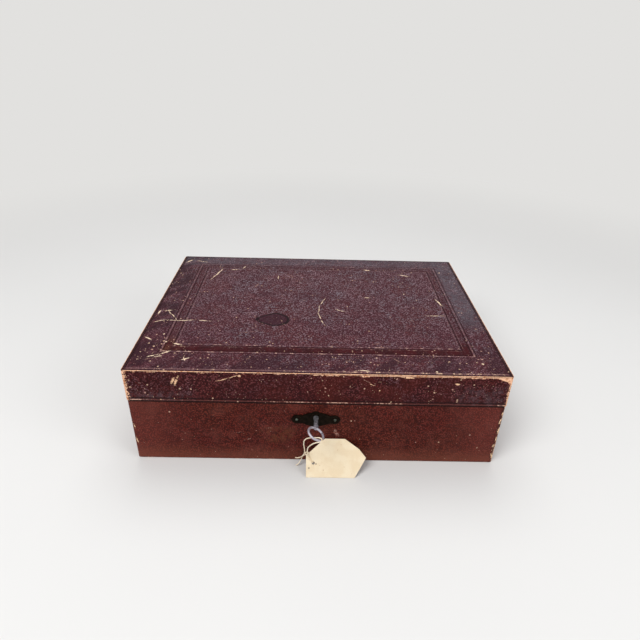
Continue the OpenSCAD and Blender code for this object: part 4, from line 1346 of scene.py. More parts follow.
@dataclass(frozen=True)
class Card(Finish):
    """Bare cream card with fibres and age spots.

    Attributes:
        spots: The two larger age spots, seen from the front.
    """

    spots: tuple[Scratch, ...]

    def dress(self, paint: Paint) -> None:
        """Adds the card's nodes.

        Args:
            paint: The material being made.
        """
        at = paint.place()
        cloud = at.mottle(11.0, 4.0)
        fibre = (at * (0.35, 1.0, 1.0)).mottle(0.5, 3.0, 0.7)
        colour = cloud.rise(0.42, 0.62).between(srgb(237, 220, 190), srgb(231, 211, 178))
        colour = colour.toward(srgb(212, 188, 150), fibre.rise(0.58, 0.72) * 0.35)
        x, _, z = at.along()
        near = place_at(x, z).stirred(0.8, 0.25).nearest(self.spots)
        colour = colour.toward(srgb(112, 96, 84), near.rise(1.2, 0.5) * 0.8)
        near, chance = at.cells(3.4)
        fox = (0.22 - near).rise(0.0, 0.12) * chance.rise(0.9, 0.94)
        colour = colour.toward(srgb(196, 160, 116), fox * 0.7)
        relief = paint.relief(fibre, 0.04)
        paint.finish(base_color=colour, roughness=0.82, specular_IOR_level=0.25, normal=relief)


@dataclass(frozen=True)
class Cotton(Finish):
    """Undyed cotton, spun and laid."""

    def dress(self, paint: Paint) -> None:
        """Adds the cotton's nodes.

        Args:
            paint: The material being made.
        """
        at = paint.place()
        fluff = at.mottle(0.22, 3.0, 0.7)
        soil = at.mottle(7.0, 3.0)
        colour = soil.rise(0.4, 0.65).between(srgb(244, 230, 206), srgb(226, 206, 174))
        colour = colour.toward(srgb(176, 148, 114), fluff.rise(0.42, 0.3) * 0.35)
        relief = paint.relief(fluff, 0.08)
        paint.finish(base_color=colour, roughness=0.95, specular_IOR_level=0.15, normal=relief)


@dataclass(frozen=True)
class Silvering(Finish):
    """Old silvered glass, spotted towards its edges.

    Attributes:
        shape: The glass's outer size.
    """

    shape: Shape

    def dress(self, paint: Paint) -> None:
        """Adds the mirror's nodes.

        Args:
            paint: The material being made.
        """
        at = paint.place()
        x, y, _ = at.along()
        from_end = (y - self.shape.front).low(self.shape.back - y)
        from_edge = (self.shape.width / 2 - abs(x)).low(from_end)
        spots, chance = at.stirred(2.0, 0.7).cells(3.0)
        decay = (from_edge + (at.mottle(30.0, 2.0) - 0.5) * 16).rise(16.0, 0.0)
        spot = (decay * 0.55 - spots).rise(0.0, 0.12) * chance.rise(0.55, 0.65)
        cloud = at.mottle(14.0, 4.0).rise(0.5, 0.75) * decay
        colour = (spot * 0.8).high(cloud * 0.35).between(srgb(226, 230, 228), srgb(92, 80, 64))
        rough = 0.035 + cloud * 0.2 + spot * 0.35
        paint.finish(base_color=colour, metallic=1 - spot * 0.7, roughness=rough)


def metres(*values: float) -> Vector:
    """A place in metres from one in millimetres."""
    return Vector(values) * MM


def ripple(x: float, y: float, z: float, size: float, seed: float = 0.0) -> float:
    """Smooth noise from about -1 to 1 at a place, with features of a size."""
    return noise.noise(Vector((x / size + seed, y / size - seed, z / size)))


class Mould:
    """A mesh being made, in millimetres."""

    def __init__(self) -> None:
        """Starts an empty mesh."""
        self.mesh = bmesh.new()

    def ring(self, points: Line) -> list[Corner]:
        """Adds points and returns their vertices."""
        return [self.mesh.verts.new(point) for point in points]

    def face(self, corners: Sequence[Corner]) -> None:
        """Adds a face, unless its corners fall together.

        Args:
            corners: The face's vertices in order.
        """
        kept: list[Corner] = []
        for corner in corners:
            if all((corner.co - other.co).length > 1e-6 for other in kept):
                kept.append(corner)
        if len(kept) > 2:
            self.mesh.faces.new(kept)

    def bridge(self, first: Sequence[Corner], second: Sequence[Corner], closed: bool) -> None:
        """Joins two rows of vertices with faces.

        Args:
            first: One row.
            second: The other, of the same length.
            closed: Whether each row runs back to its start.
        """
        count = len(first)
        for i in range(count if closed else count - 1):
            j = (i + 1) % count
            self.face((first[i], first[j], second[j], second[i]))

    def rows(self, lines: Sequence[Line], closed: bool) -> list[list[Corner]]:
        """Adds rows of points and joins each to the next with faces.

        Args:
            lines: The rows.
            closed: Whether each row runs back to its start.

        Returns:
            The vertices of each row.
        """
        made = [self.ring(points) for points in lines]
        for first, second in zip(made, made[1:]):
            self.bridge(first, second, closed)
        return made

    def loft(self, rings: Sequence[Line], hoop: bool = False) -> None:
        """Makes a solid of closed rings.

        Args:
            rings: The rings.
            hoop: Whether the last ring joins the first, instead of a face that closes each end.
        """
        made = self.rows(rings, True)
        if hoop:
            self.bridge(made[-1], made[0], True)
        else:
            self.face(made[0][::-1])
            self.face(made[-1])

    def box(self, low: Sequence[float], high: Sequence[float]) -> None:
        """Adds a closed box."""
        plan = ((low[0], low[1]), (high[0], low[1]), (high[0], high[1]), (low[0], high[1]))
        self.loft([[(x, y, z) for x, y in plan] for z in (low[2], high[2])])

    def move(self, shift: Callable[[Vector], Vector]) -> None:
        """Moves every vertex to where a function says."""
        for vertex in self.mesh.verts:
            vertex.co = shift(vertex.co)

    def piece(self, name: str, crease: float = 34.0) -> Piece:
        """Turns the mesh into an object, smooth but for its sharp edges.

        Args:
            name: The object's name.
            crease: The angle in degrees from which an edge is sharp.

        Returns:
            The object, in metres.
        """
        bmesh.ops.remove_doubles(self.mesh, verts=self.mesh.verts, dist=1e-4)
        bmesh.ops.recalc_face_normals(self.mesh, faces=self.mesh.faces)
        sharpen(self.mesh, crease)
        self.mesh.transform(Matrix.Scale(MM, 4))
        data = bpy.data.meshes.new(name)
        self.mesh.to_mesh(data)
        self.mesh.free()
        return placed(name, data)


def placed(name: str, data: bpy.types.ID) -> Piece:
    """A new object in the scene, from its data.

    Args:
        name: The object's name.
        data: Its mesh, camera or lamp.

    Returns:
        The object.
    """
    made = bpy.data.objects.new(name, data)
    bpy.context.scene.collection.objects.link(made)
    return made


def sharpen(mesh: bmesh.types.BMesh, crease: float) -> None:
    """Smooths every face and marks the edges that are sharper than an angle in degrees."""
    for face in mesh.faces:
        face.smooth = True
    for edge in mesh.edges:
        edge.smooth = len(edge.link_faces) == 2 and edge.calc_face_angle(0.0) < math.radians(crease)


def cut_out(piece: Piece, cutters: Sequence[Piece], crease: float = 34.0) -> None:
    """Cuts closed shapes out of a piece and removes them.

    Args:
        piece: The piece.
        cutters: The closed shapes.
        crease: The angle in degrees from which an edge of the piece is sharp.
    """
    for cutter in cutters:
        cutting = piece.modifiers.new("cut", "BOOLEAN")
        cutting.operation = "DIFFERENCE"
        cutting.solver = "EXACT"
        cutting.object = cutter
    graph = bpy.context.evaluated_depsgraph_get()
    made = bpy.data.meshes.new_from_object(piece.evaluated_get(graph))
    piece.modifiers.clear()
    piece.data = made
    for cutter in cutters:
        bpy.data.objects.remove(cutter)
    mesh = bmesh.new()
    mesh.from_mesh(made)
    sharpen(mesh, crease)
    mesh.to_mesh(made)
    mesh.free()


def box_cutter(low: Sequence[float], high: Sequence[float]) -> Piece:
    """A box to cut with, in millimetres.

    Args:
        low: Its lowest corner.
        high: Its highest corner.

    Returns:
        The box.
    """
    mould = Mould()
    mould.box(low, high)
    return mould.piece("cutter")


def put_on(piece: Piece, finish: Finish) -> None:
    """Gives a piece one finish."""
    piece.data.materials.clear()
    piece.data.materials.append(finish.material())


def set_piece(piece: Piece, finish: Finish, body: Body, *replaced: str) -> Piece:
    """Dresses a new piece, lets it ride on its body and stand for the nodes that it replaces.

    Args:
        piece: The piece.
        finish: Its finish.
        body: The body that it moves with.
        replaced: The CAD nodes that it stands for.

    Returns:
        The piece.
    """
    put_on(piece, finish)
    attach(piece, body.value)
    if replaced:
        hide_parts(*replaced)
    LOG.info("%s rides on %s in %s", piece.name, body.value, finish.name)
    return piece


def parts_of(node: str) -> list[tuple[Vector, Vector]]:
    """The box round each separate solid in a CAD node.

    Args:
        node: The node's name.

    Returns:
        The lowest and the highest corner of each solid, in millimetres, from left to right.
    """
    mesh = bmesh.new()
    mesh.from_mesh(bpy.data.objects[node].data)
    bmesh.ops.remove_doubles(mesh, verts=mesh.verts, dist=1e-6)
    found = []
    left = set(mesh.verts)
    while left:
        group = {left.pop()}
        edge = list(group)
        while edge:
            vertex = edge.pop()
            near = {link.other_vert(vertex) for link in vertex.link_edges} & left
            left -= near
            group |= near
            edge.extend(near)
        corners = [[vertex.co[i] / MM for vertex in group] for i in range(3)]
        found.append((Vector([min(c) for c in corners]), Vector([max(c) for c in corners])))
    mesh.free()
    return sorted(found, key=lambda box: tuple(box[0]))


def dress_nodes(finish: Finish, *names: str) -> None:
    """Gives carried-over CAD nodes a finish."""
    for name in names:
        put_on(bpy.data.objects[name], finish)
        LOG.info("%s wears %s", name, finish.name)


@dataclass(frozen=True)
class StudioCamera:
    """The camera, where the photograph was taken from.

    Attributes:
        focal: Focal length in pixels of a frame 640 wide.
        frame: Width and height of the frame in pixels.
        pitch: How far it looks down, in degrees.
        yaw: How far it looks to the right, in degrees.
        roll: How far it leans, in degrees.
        place: Where it stands, in millimetres.
        sensor: Width of its sensor in millimetres.
    """

    focal: float = 508.05
    frame: float = 640.0
    pitch: float = 29.703
    yaw: float = 1.110
    roll: float = 1.683
    place: tuple[float, float, float] = (-7.28, -498.57, 370.11)
    sensor: float = 36.0

    def build(self) -> Piece:
        """Makes the camera and the scene's view of it.

        Returns:
            The camera.
        """
        data = bpy.data.cameras.new("studio_camera")
        data.sensor_width = self.sensor
        data.lens = self.focal * self.sensor / self.frame
        data.clip_start = 0.01
        made = placed("studio_camera", data)
        pitch, yaw, roll = (math.radians(v) for v in (self.pitch, self.yaw, self.roll))
        level = math.cos(pitch)
        ahead = Vector((math.sin(yaw) * level, math.cos(yaw) * level, -math.sin(pitch)))
        right = Vector((math.cos(yaw), -math.sin(yaw), 0.0))
        up = right.cross(ahead)
        leant_right = right * math.cos(roll) + up * math.sin(roll)
        leant_up = up * math.cos(roll) - right * math.sin(roll)
        turned = Matrix((leant_right, leant_up, -ahead)).transposed().to_4x4()
        made.matrix_world = Matrix.Translation(metres(*self.place)) @ turned
        bpy.context.scene.camera = made
        bpy.context.scene.view_settings.view_transform = "Standard"
        LOG.info("camera stands at %s mm", self.place)
        return made


# The string's route, in metres: a loose end, up to the bow, round its tip, down to the card and back
STRING_ROUTE = (
    (-0.0204, -0.1364, 0.0092), (-0.0172, -0.1373, 0.0100), (-0.0140, -0.1389, 0.0134),
    (-0.0121, -0.1409, 0.0180), (-0.0114, -0.1430, 0.0228), (-0.0115, -0.1464, 0.0308),
    (-0.0121, -0.1504, 0.0394), (-0.0119, -0.1539, 0.0466), (-0.0105, -0.1568, 0.0520),
    (-0.0079, -0.1585, 0.0550), (-0.0046, -0.1589, 0.0560), (-0.0013, -0.1589, 0.0560),
    (0.0012, -0.1589, 0.0560), (0.0033, -0.1597, 0.0560), (0.0042, -0.1617, 0.0560),
    (0.0033, -0.1637, 0.0560), (0.0012, -0.1645, 0.0559), (-0.0012, -0.1644, 0.0552),
    (-0.0036, -0.1637, 0.0533), (-0.0056, -0.1621, 0.0502), (-0.0071, -0.1594, 0.0460),
    (-0.0082, -0.1555, 0.0406), (-0.0087, -0.1504, 0.0324), (-0.0086, -0.1459, 0.0246),
    (-0.0081, -0.1435, 0.0194), (-0.0070, -0.1429, 0.0166), (-0.0057, -0.1437, 0.0146),
    (-0.0045, -0.1445, 0.0132), (-0.0033, -0.1447, 0.0116), (-0.0029, -0.1437, 0.0100),
    (-0.0033, -0.1419, 0.0094), (-0.0045, -0.1403, 0.0100), (-0.0060, -0.1389, 0.0115),
    (-0.0078, -0.1378, 0.0130), (-0.0098, -0.1370, 0.0137), (-0.0118, -0.1366, 0.0129),
    (-0.0135, -0.1366, 0.0107), (-0.0150, -0.1369, 0.0068), (-0.0172, -0.1377, 0.0026),
    (-0.0196, -0.1382, 0.0010),
)


def smooth_route(route: Sequence[Sequence[float]], steps: int) -> list[Vector]:
    """A smooth curve through given points.

    Args:
        route: The points.
        steps: How many stretches there are between two of them.

    Returns:
        Points along the curve, in the route's own unit.
    """
    points = [Vector(point) for point in route]
    made: list[Vector] = []
    for i in range(len(points) - 1):
        a, b = points[max(0, i - 1)], points[i]
        c, d = points[i + 1], points[min(len(points) - 1, i + 2)]
        for k in range(steps):
            t = k / steps
            bend = (2 * a - 5 * b + 4 * c - d) * t * t + (3 * b - a - 3 * c + d) * t * t * t
            made.append(0.5 * (2 * b + (c - a) * t + bend))
    return [*made, points[-1]]


def laid_cord(name: str, line: Sequence[Vector], radius: float, pitch: float, plies: int = 3) -> Piece:
    """A cord of twisted plies along a line.

    Args:
        name: The piece's name.
        line: Points that it follows, in millimetres.
        radius: Half its diameter in millimetres.
        pitch: Length of one full twist in millimetres.
        plies: How many plies are twisted together.

    Returns:
        The cord as one tube whose section has a lobe a ply.
    """
    sides = plies * 5
    rings: list[list[Vector]] = []
    side = Vector((0.0, 0.0, 1.0))
    run = 0.0
    for i, point in enumerate(line):
        ahead = (line[min(i + 1, len(line) - 1)] - line[max(i - 1, 0)]).normalized()
        side = (side - ahead * side.dot(ahead)).normalized()
        across = ahead.cross(side)
        run += (point - line[max(i - 1, 0)]).length
        ring = []
        for k in range(sides):
            turn = 2 * math.pi * k / sides
            reach = radius * (0.86 + 0.14 * math.cos(plies * (turn - 2 * math.pi * run / pitch)))
            ring.append(point + side * (reach * math.cos(turn)) + across * (reach * math.sin(turn)))
        rings.append(ring)
    mould = Mould()
    mould.loft(rings)
    return mould.piece(name, 180.0)


@dataclass
class CardLabel:
    """The card label and the string that ties it to the key's bow.

    Attributes:
        diameter: The string's diameter in millimetres.
        length: The string's length in millimetres, from end to end; not used.
        pitch: Length of one twist of the string.
        lean: Angle at which the card leans, in degrees.
        corner: The card's lower left corner in the frame.
        thickness: The card's thickness.
        outline: The card's outline on its own plane.
        hole: Middle of the hole on the card's own plane.
        hole_radius: The hole's radius.
        bow: How far the card bows out in its middle.
        stiff: How far up from its lower edge the bow is still growing.
        knot_at: Middle of the string's knot in the frame.
    """

    diameter: float = 1.1
    length: float = 161.0
    pitch: float = 2.6
    lean: float = 52.5
    corner: tuple[float, float, float] = (-9.6, -153.074, 0.445)
    thickness: float = 0.6
    outline: tuple[Point, ...] = (
        (0.0, 0.0), (46.3, 0.0), (57.2, 18.8), (50.6, 26.8),
        (36.8, 36.3), (17.4, 36.3), (4.2, 24.4), (-0.3, 20.7),
    )
    hole: Point = (6.7, 13.3)
    hole_radius: float = 1.5
    bow: float = 0.5
    stiff: float = 18.0
    knot_at: tuple[float, float, float] = (-9.1, -140.9, 19.6)

    def build(self) -> None:
        """Makes the card, the string and its knot."""
        card = self._card()
        path = smooth_route(STRING_ROUTE, 5)
        line = [point / MM for point in path]
        string = laid_cord("label_string_laid", line, self.diameter / 2, self.pitch)
        cotton = Cotton("undyed_cotton", "cotton_string")
        knot = self._knot()
        set_piece(string, cotton, Body.BASE, "label_string")
        set_piece(knot, cotton, Body.BASE)

    def _card(self) -> Piece:
        """The card, a little bowed, with a round hole.

        Returns:
            The dressed card.
        """
        mould = Mould()
        mould.face(mould.ring([(x, y, -self.thickness) for x, y in self.outline]))
        mesh = mould.mesh
        self._slice(mesh)
        made = bmesh.ops.extrude_face_region(mesh, geom=list(mesh.faces))
        lifted = [item for item in made["geom"] if isinstance(item, Corner)]
        bmesh.ops.translate(mesh, vec=(0.0, 0.0, self.thickness), verts=lifted)
        mould.move(self._bowed)
        mesh.transform(self._stand())
        card = mould.piece("label_card_bowed", 30.0)
        cut_out(card, [self._hole_cutter()], 30.0)
        spots = scratched((1.4, self._upright(9.4, 12.6)), (1.7, self._upright(2.6, 8.6)))
        return set_piece(card, Card("cream_card", "label_card", spots), Body.BASE, "label_card")

    def _slice(self, mesh: bmesh.types.BMesh) -> None:
        """Cuts the flat card into small faces so that it can bow.

        Args:
            mesh: The flat card.
        """
        step = 3.0
        for axis, span in enumerate((57.0, 36.0)):
            for i in range(1, int(span / step) + 1):
                place, normal = Vector(), Vector()
                place[axis] = i * step
                normal[axis] = 1.0
                geometry = [*mesh.verts, *mesh.edges, *mesh.faces]
                bmesh.ops.bisect_plane(mesh, geom=geometry, plane_co=place, plane_no=normal)

    def _bowed(self, at: Vector) -> Vector:
        """The card's slight bow towards the front, nothing at its lower edge.

        Args:
            at: A point of the flat card.

        Returns:
            Where the point comes to lie.
        """
        across = min(1.0, max(0.0, at.x / self.outline[2][0]))
        lift = self.bow * math.sin(math.pi * across) * min(1.0, at.y / self.stiff)
        return Vector((at.x, at.y, at.z + max(0.0, lift)))

    def _stand(self) -> Matrix:
        """What takes the card from its own plane to where it leans."""
        return Matrix.Translation(self.corner) @ Matrix.Rotation(math.radians(self.lean), 4, "X")

    def _upright(self, x: float, y: float) -> Point:
        """Where a place on the card lies in the frame, seen from the front: X and Z."""
        return self.corner[0] + x, self.corner[2] + y * math.sin(math.radians(self.lean))

    def _hole_cutter(self) -> Piece:
        """A round rod through the card's hole.

        Returns:
            The rod.
        """
        mould = Mould()
        ring = arc(self.hole, self.hole_radius, 0, 360, 28)[:-1]
        mould.loft([[(x, y, z) for x, y in ring] for z in (-3.0, 3.0)])
        mould.mesh.transform(self._stand())
        return mould.piece("cutter")

    def _knot(self) -> Piece:
        """Two turns of string drawn tight round both strands.

        Returns:
            The knot.
        """
        centre = Vector(self.knot_at)
        down = Vector((0.5, 0.55, -0.7)).normalized()
        across = down.cross(Vector((0.0, 0.0, 1.0))).normalized()
        over = down.cross(across)
        points = []
        turns, last = 2.2, 43
        for i in range(last + 1):
            angle = 2 * math.pi * turns * i / last
            reach = 1.25 + 0.12 * math.sin(3 * angle)
            out = across * (reach * math.cos(angle)) + over * (reach * math.sin(angle))
            points.append(centre + out + down * (i / last - 0.5) * 1.9)
        return laid_cord("string_knot", points, self.diameter / 2, self.pitch)


@dataclass(frozen=True)
class Plan:
    """A rectangular plan with round corners, walked round from the front left, in millimetres.

    Attributes:
        shape: The outer size.
        corner: Radius of the corners.
        long_steps: Stretches along the front and the back.
        short_steps: Stretches along each side.
        corner_steps: Stretches round a corner.
    """

    shape: Shape
    corner: float
    long_steps: int = 70
    short_steps: int = 52
    corner_steps: int = 5

    def ring(self, inset: TooledFrame, z: float) -> list[Vector]:
        """The plan's outline drawn in by an inset.

        Args:
            inset: How far in it is drawn on each side.
            z: The height that it lies at.

        Returns:
            Points round the outline.
        """
        radius = max(0.0, self.corner - min(inset.side, inset.front, inset.back))
        right = self.shape.width / 2 - inset.side - radius
        front = self.shape.front + inset.front + radius
        back = self.shape.back - inset.back - radius
        corners = ((right, front, -90), (right, back, 0), (-right, back, 90), (-right, front, 180))
        points: list[Point] = []
        for before, (x, y, turned), steps in zip(
            (corners[-1], *corners), corners, (self.long_steps, self.short_steps) * 2
        ):
            bend = arc((x, y), radius, turned, turned + 90, self.corner_steps)
            start, end = Vector(on_circle(before[:2], radius, turned)), Vector(bend[0])
            points += [tuple(start.lerp(end, i / steps)) for i in range(steps)]
            points += bend[:-1]
        return [Vector((x, y, z)) for x, y in points]

    def grid(self, inset: TooledFrame, z: float) -> list[list[Vector]]:
        """Rows of points that fill the outline drawn in by an inset.

        Args:
            inset: How far in it is drawn on each side.
            z: The height that it lies at.

        Returns:
            The rows, from the front to the back.
        """
        right = self.shape.width / 2 - inset.side
        front, back = self.shape.front + inset.front, self.shape.back - inset.back
        across = [right * (2 * i / self.long_steps - 1) for i in range(self.long_steps + 1)]
        along = [front + (back - front) * j / self.short_steps for j in range(self.short_steps + 1)]
        return [[Vector((x, y, z)) for x in across] for y in along]


def even(inset: float) -> TooledFrame:
    """The same inset on every side."""
    return TooledFrame(inset, inset, inset)


def on_circle(middle: Point, radius: float, angle: float) -> Point:
    """The place on a circle at an angle in degrees."""
    turn = math.radians(angle)
    return middle[0] + radius * math.cos(turn), middle[1] + radius * math.sin(turn)


def arc(middle: Point, radius: float, start: float, end: float, steps: int) -> list[Point]:
    """Points along an arc, from one angle to another in degrees."""
    return [on_circle(middle, radius, start + (end - start) * i / steps) for i in range(steps + 1)]


@dataclass
class LeatherCover:
    """The leather of the lid and the base, skived, turned over the rims and tooled.

    Attributes:
        corner: Radius of the upright corners.
        thickness: The leather's thickness.
        wall: From the outside to the inner face of a wall, at the rim.
        inlet: Thickness of the hinge leaves and the lock's plates, let into both rims.
        room: Clearance round what is let in.
        sway: How far the leather's surface wavers.
        groove_width: Width of a tooled line.
        groove_depth: Depth of a tooled line.
        base: The outer size of the base's leather.
        lid: The outer size of the leather on the lid's walls.
        top: The outer size of the lid's top sheet.
    """

    corner: float = 2.5
    thickness: float = 1.0
    wall: float = 10.0
    inlet: float = 1.4
    room: float = 0.05
    sway: float = 0.14
    groove_width: float = 1.1
    groove_depth: float = 0.35
    base: Shape = field(init=False)
    lid: Shape = field(init=False)
    top: Shape = field(init=False)

    def __post_init__(self) -> None:
        """Reads the covered sizes off the frame."""
        self.base = Shape.of("base_leather")
        self.lid = Shape.of("lid_leather_band")
        self.top = Shape.of("lid_top_leather")

    def build(self) -> None:
        """Makes the three pieces of leather."""
        self._base()
        self._lid_walls()
        self._lid_top()

    def _base(self) -> None:
        """The base's leather, up its walls and over its rim."""
        high, low = self.base.high, self.base.low
        lip = 0.9
        profile = [(0.35, low)]
        steps = 15
        profile += [(0.0, low + 0.5 + (high - lip - low - 0.5) * i / steps) for i in range(steps)]
        profile += arc((lip, high - lip), lip, 180, 90, 5)
        profile += [(3.2, high), (6.4, high), *arc((self.wall - 0.4, high - 0.4), 0.4, 90, 0, 3)]
        profile += [(self.wall, high - self.thickness), (self.thickness, high - self.thickness)]
        profile += [(self.thickness, low)]
        piece = self._swept("base_leather_cover", self.base, profile, hem=low)
        cut_out(piece, [*self._rim_cutters(high - self.inlet, high + 1), self._keyhole_cutter()])
        leather = BaseLeather("base_leather_worn", "leather_base", self.base)
        set_piece(piece, leather, Body.BASE, "base_leather")

    def _lid_walls(self) -> None:
        """The lid's leather, down its walls and under its rim."""
        high, low = self.lid.high, self.lid.low
        lip, crown = 0.8, 0.55
        profile = [(self.thickness, high), (crown, high), *arc((crown, high - crown), crown, 135, 180, 2)]
        steps = 8
        profile += [(0.0, high - crown + (low + lip - high + crown) * i / steps) for i in range(1, steps)]
        profile += arc((lip, low + lip), lip, 180, 270, 5)
        profile += [(3.2, low), (6.4, low), *arc((self.wall - 0.4, low + 0.4), 0.4, 270, 360, 3)]
        profile += [(self.wall, low + self.thickness), (self.thickness, low + self.thickness)]
        piece = self._swept("lid_leather_walls", self.lid, profile, hem=None)
        cut_out(piece, self._rim_cutters(low - 1, low + self.inlet))
        leather = LidLeather("lid_leather_worn", "leather_lid", self.lid)
        set_piece(piece, leather, Body.LID, "lid_leather_band")

    def _lid_top(self) -> None:
        """The lid's top sheet: a raw edge, a rolled arris, an edge line and two tooled frames."""
        high, low = self.top.high, self.top.low
        plan = Plan(self.top, self.corner)
        steps: list[tuple[TooledFrame, float]] = [(even(0.12), low), (even(0.0), low + 0.15)]
        steps += [(even(u), z) for u, z in arc((0.4, high - 0.4), 0.4, 180, 90, 4)]
        doubled = (OUTER_FRAME.shifted(-DOUBLE_LINE), OUTER_FRAME.shifted(DOUBLE_LINE))
        for line in (EDGE_FRAME, *doubled, INNER_FRAME):
            last = steps[-1][0]
            steps += [(last.toward(line, share), high) for share in (0.35, 0.65)]
            steps += self._groove(line, high)
        mould = Mould()
        rings = mould.rows([plan.ring(frame, z) for frame, z in steps], True)
        mould.face(rings[0][::-1])
        mould.rows(plan.grid(steps[-1][0], high), False)
        bmesh.ops.remove_doubles(mould.mesh, verts=mould.mesh.verts, dist=1e-3)
        mould.move(self._settled_top)
        leather = TopLeather("top_leather_worn", "leather_top", self.top)
        set_piece(mould.piece("lid_leather_top"), leather, Body.LID, "lid_top_leather")

    def _groove(self, middle: TooledFrame, high: float) -> list[tuple[TooledFrame, float]]:
        """The rings of one tooled line, from its outer edge to its inner one.

        Args:
            middle: The line's middle.
            high: The height of the leather's surface.

        Returns:
            Each ring as its inset and its height.
        """
        half, deep = self.groove_width / 2, self.groove_depth
        section = ((-1.0, 0.0), (-0.6, 0.7), (0.0, 1.0), (0.6, 0.7), (1.0, 0.0))
        return [(middle.shifted(half * across), high - deep * down) for across, down in section]

    def _settled_top(self, at: Vector) -> Vector:
        """The top sheet's surface, sunk a little here and there away from its edges.

        Args:
            at: A point of the sheet.

        Returns:
            Where the point comes to lie.
        """
        if at.z < self.top.high - 0.6:
            return at
        edge = min(self.top.width / 2 - abs(at.x), at.y - self.top.front, self.top.back - at.y)
        share = min(1.0, max(0.0, edge / 18.0))
        sink = self.sway * 1.5 * (0.5 + 0.5 * ripple(at.x, at.y, 0.0, 48.0)) * share
        return Vector((at.x, at.y, at.z - sink))

    def _swept(self, name: str, shape: Shape, profile: Sequence[Point], hem: float | None) -> Piece:
        """Leather of one section carried round a plan.

        Args:
            name: The piece's name.
            shape: The outer size.
            profile: The section: how far in, and the height.
            hem: Height of a cut lower edge, which wavers, or None.

        Returns:
            The piece.
        """
        plan = Plan(shape, self.corner)
        mould = Mould()
        mould.loft([plan.ring(even(u), z) for u, z in profile], hoop=True)

        def settled(at: Vector) -> Vector:
            """Sinks the outer faces a little, and lets a hem waver.

            Args:
                at: A point of the leather.

            Returns:
                Where the point comes to lie.
            """
            moved = at.copy()
            wave = self.sway * (0.5 + 0.5 * ripple(at.x, at.y, at.z, 34.0))
            if abs(abs(at.x) - shape.width / 2) < 0.3:
                moved.x -= math.copysign(wave, at.x)
            if min(abs(at.y - shape.front), abs(at.y - shape.back)) < 0.3:
                moved.y -= math.copysign(wave, at.y)
            if hem is not None and at.z < hem + 0.2:
                moved.z += 0.15 * (1 + ripple(at.x, at.y, 0.0, 6.0, 3.0))
            return moved

        mould.move(settled)
        return mould.piece(name)

    def _rim_cutters(self, low: float, high: float) -> list[Piece]:
        """Boxes that let the hinge leaves and the lock's plate into a rim.

        Args:
            low: The height of the boxes' lower side.
            high: The height of their upper side.

        Returns:
            The boxes.
        """
        behind, inside = self.base.back + 4, self.base.front + self.wall + 2
        made = []
        for name, back in (
            ("left_hinge_base_leaf", behind), ("right_hinge_base_leaf", behind), ("link_plate", inside)
        ):
            near, far = (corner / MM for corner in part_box(name))
            made.append(box_cutter(
                (near.x - self.room, near.y - self.room, low - self.room),
                (far.x + self.room, back, high + self.room),
            ))
        return made

    def _keyhole_cutter(self) -> Piece:
        """A box that clears the key's shank and bit.

        Returns:
            The box.
        """
        low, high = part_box("lock_drill_pin")
        x, _, z = (low + high) / 2 / MM
        front = self.base.front
        return box_cutter((x - 2.6, front - 2, z - 5.2), (x + 2.6, front + 3, z + 2.6))


@dataclass(frozen=True)
class Cushion:
    """A thin pad: crowned on one face, flat on the other, with rolled edges and drawn-in sides.

    Attributes:
        span: Width and length of the pad in millimetres.
        thickness: Thickness in the middle.
        crown: How much thinner it is along its edges.
        draw: How far a side pulls in between its corners.
        roll: Radius of the rolled edge.
        step: Distance between the grid's lines.
    """

    span: Point
    thickness: float
    crown: float = 0.6
    draw: float = 0.6
    roll: float = 1.4
    step: float = 6.0

    def _lines(self, half: float) -> list[float]:
        """Places of the grid's lines across the pad, closer together along the rolled edges.

        Args:
            half: Half the pad's size across the lines.

        Returns:
            Distances from the middle.
        """
        edge = [half - self.roll * (1 - math.cos(math.radians(a))) for a in (0.0, 22.5, 45.0, 67.5)]
        flat = half - self.roll
        count = max(2, math.ceil(2 * flat / self.step))
        middle = [-flat + 2 * flat * i / count for i in range(count + 1)]
        return [*(-v for v in edge), *middle, *reversed(edge)]

    def _height(self, x: float, y: float, sink: float) -> float:
        """The pad's height at a place, less what its surface sinks there.

        Args:
            x: The place's distance from the middle across the pad.
            y: The same along it.
            sink: How far the surface sinks there.

        Returns:
            The height above the pad's back.
        """
        half_x, half_y = self.span[0] / 2, self.span[1] / 2
        inside = max(0.0, min(half_x - abs(x), half_y - abs(y)))
        rolled = 1.0 if inside >= self.roll else math.sqrt(1 - (1 - inside / self.roll) ** 2)
        full = (1 - (x / half_x) ** 2) * (1 - (y / half_y) ** 2)
        return rolled * (self.thickness - self.crown * (1 - full) - sink)

    def add(self, mould: Mould, place: Matrix, sink: Sink | None = None) -> None:
        """Adds the pad to a mesh.

        Args:
            mould: The mesh being made.
            place: Turns and moves the pad from its own plane, middle at the origin, into the frame.
            sink: How far the crowned face sinks at a place on the pad.
        """
        half_x, half_y = self.span[0] / 2, self.span[1] / 2

        def spot(x: float, y: float, crowned: bool) -> Vector:
            """A place on the pad, its sides drawn in, on the crowned face or the flat one.

            Args:
                x: Its distance from the middle across the pad.
                y: The same along it.
                crowned: Whether it lies on the crowned face.

            Returns:
                The place in the frame.
            """
            drawn_x = math.copysign(self.draw, x) * abs(x / half_x) ** 4 * (1 - (y / half_y) ** 2)
            drawn_y = math.copysign(self.draw, y) * abs(y / half_y) ** 4 * (1 - (x / half_x) ** 2)
            height = self._height(x, y, sink(x, y) if sink else 0.0) if crowned else 0.0
            return place @ Vector((x - drawn_x, y - drawn_y, height))

        columns, rows = self._lines(half_x), self._lines(half_y)
        for crowned in (True, False):
            mould.rows([[spot(x, y, crowned) for x in columns] for y in rows], False)


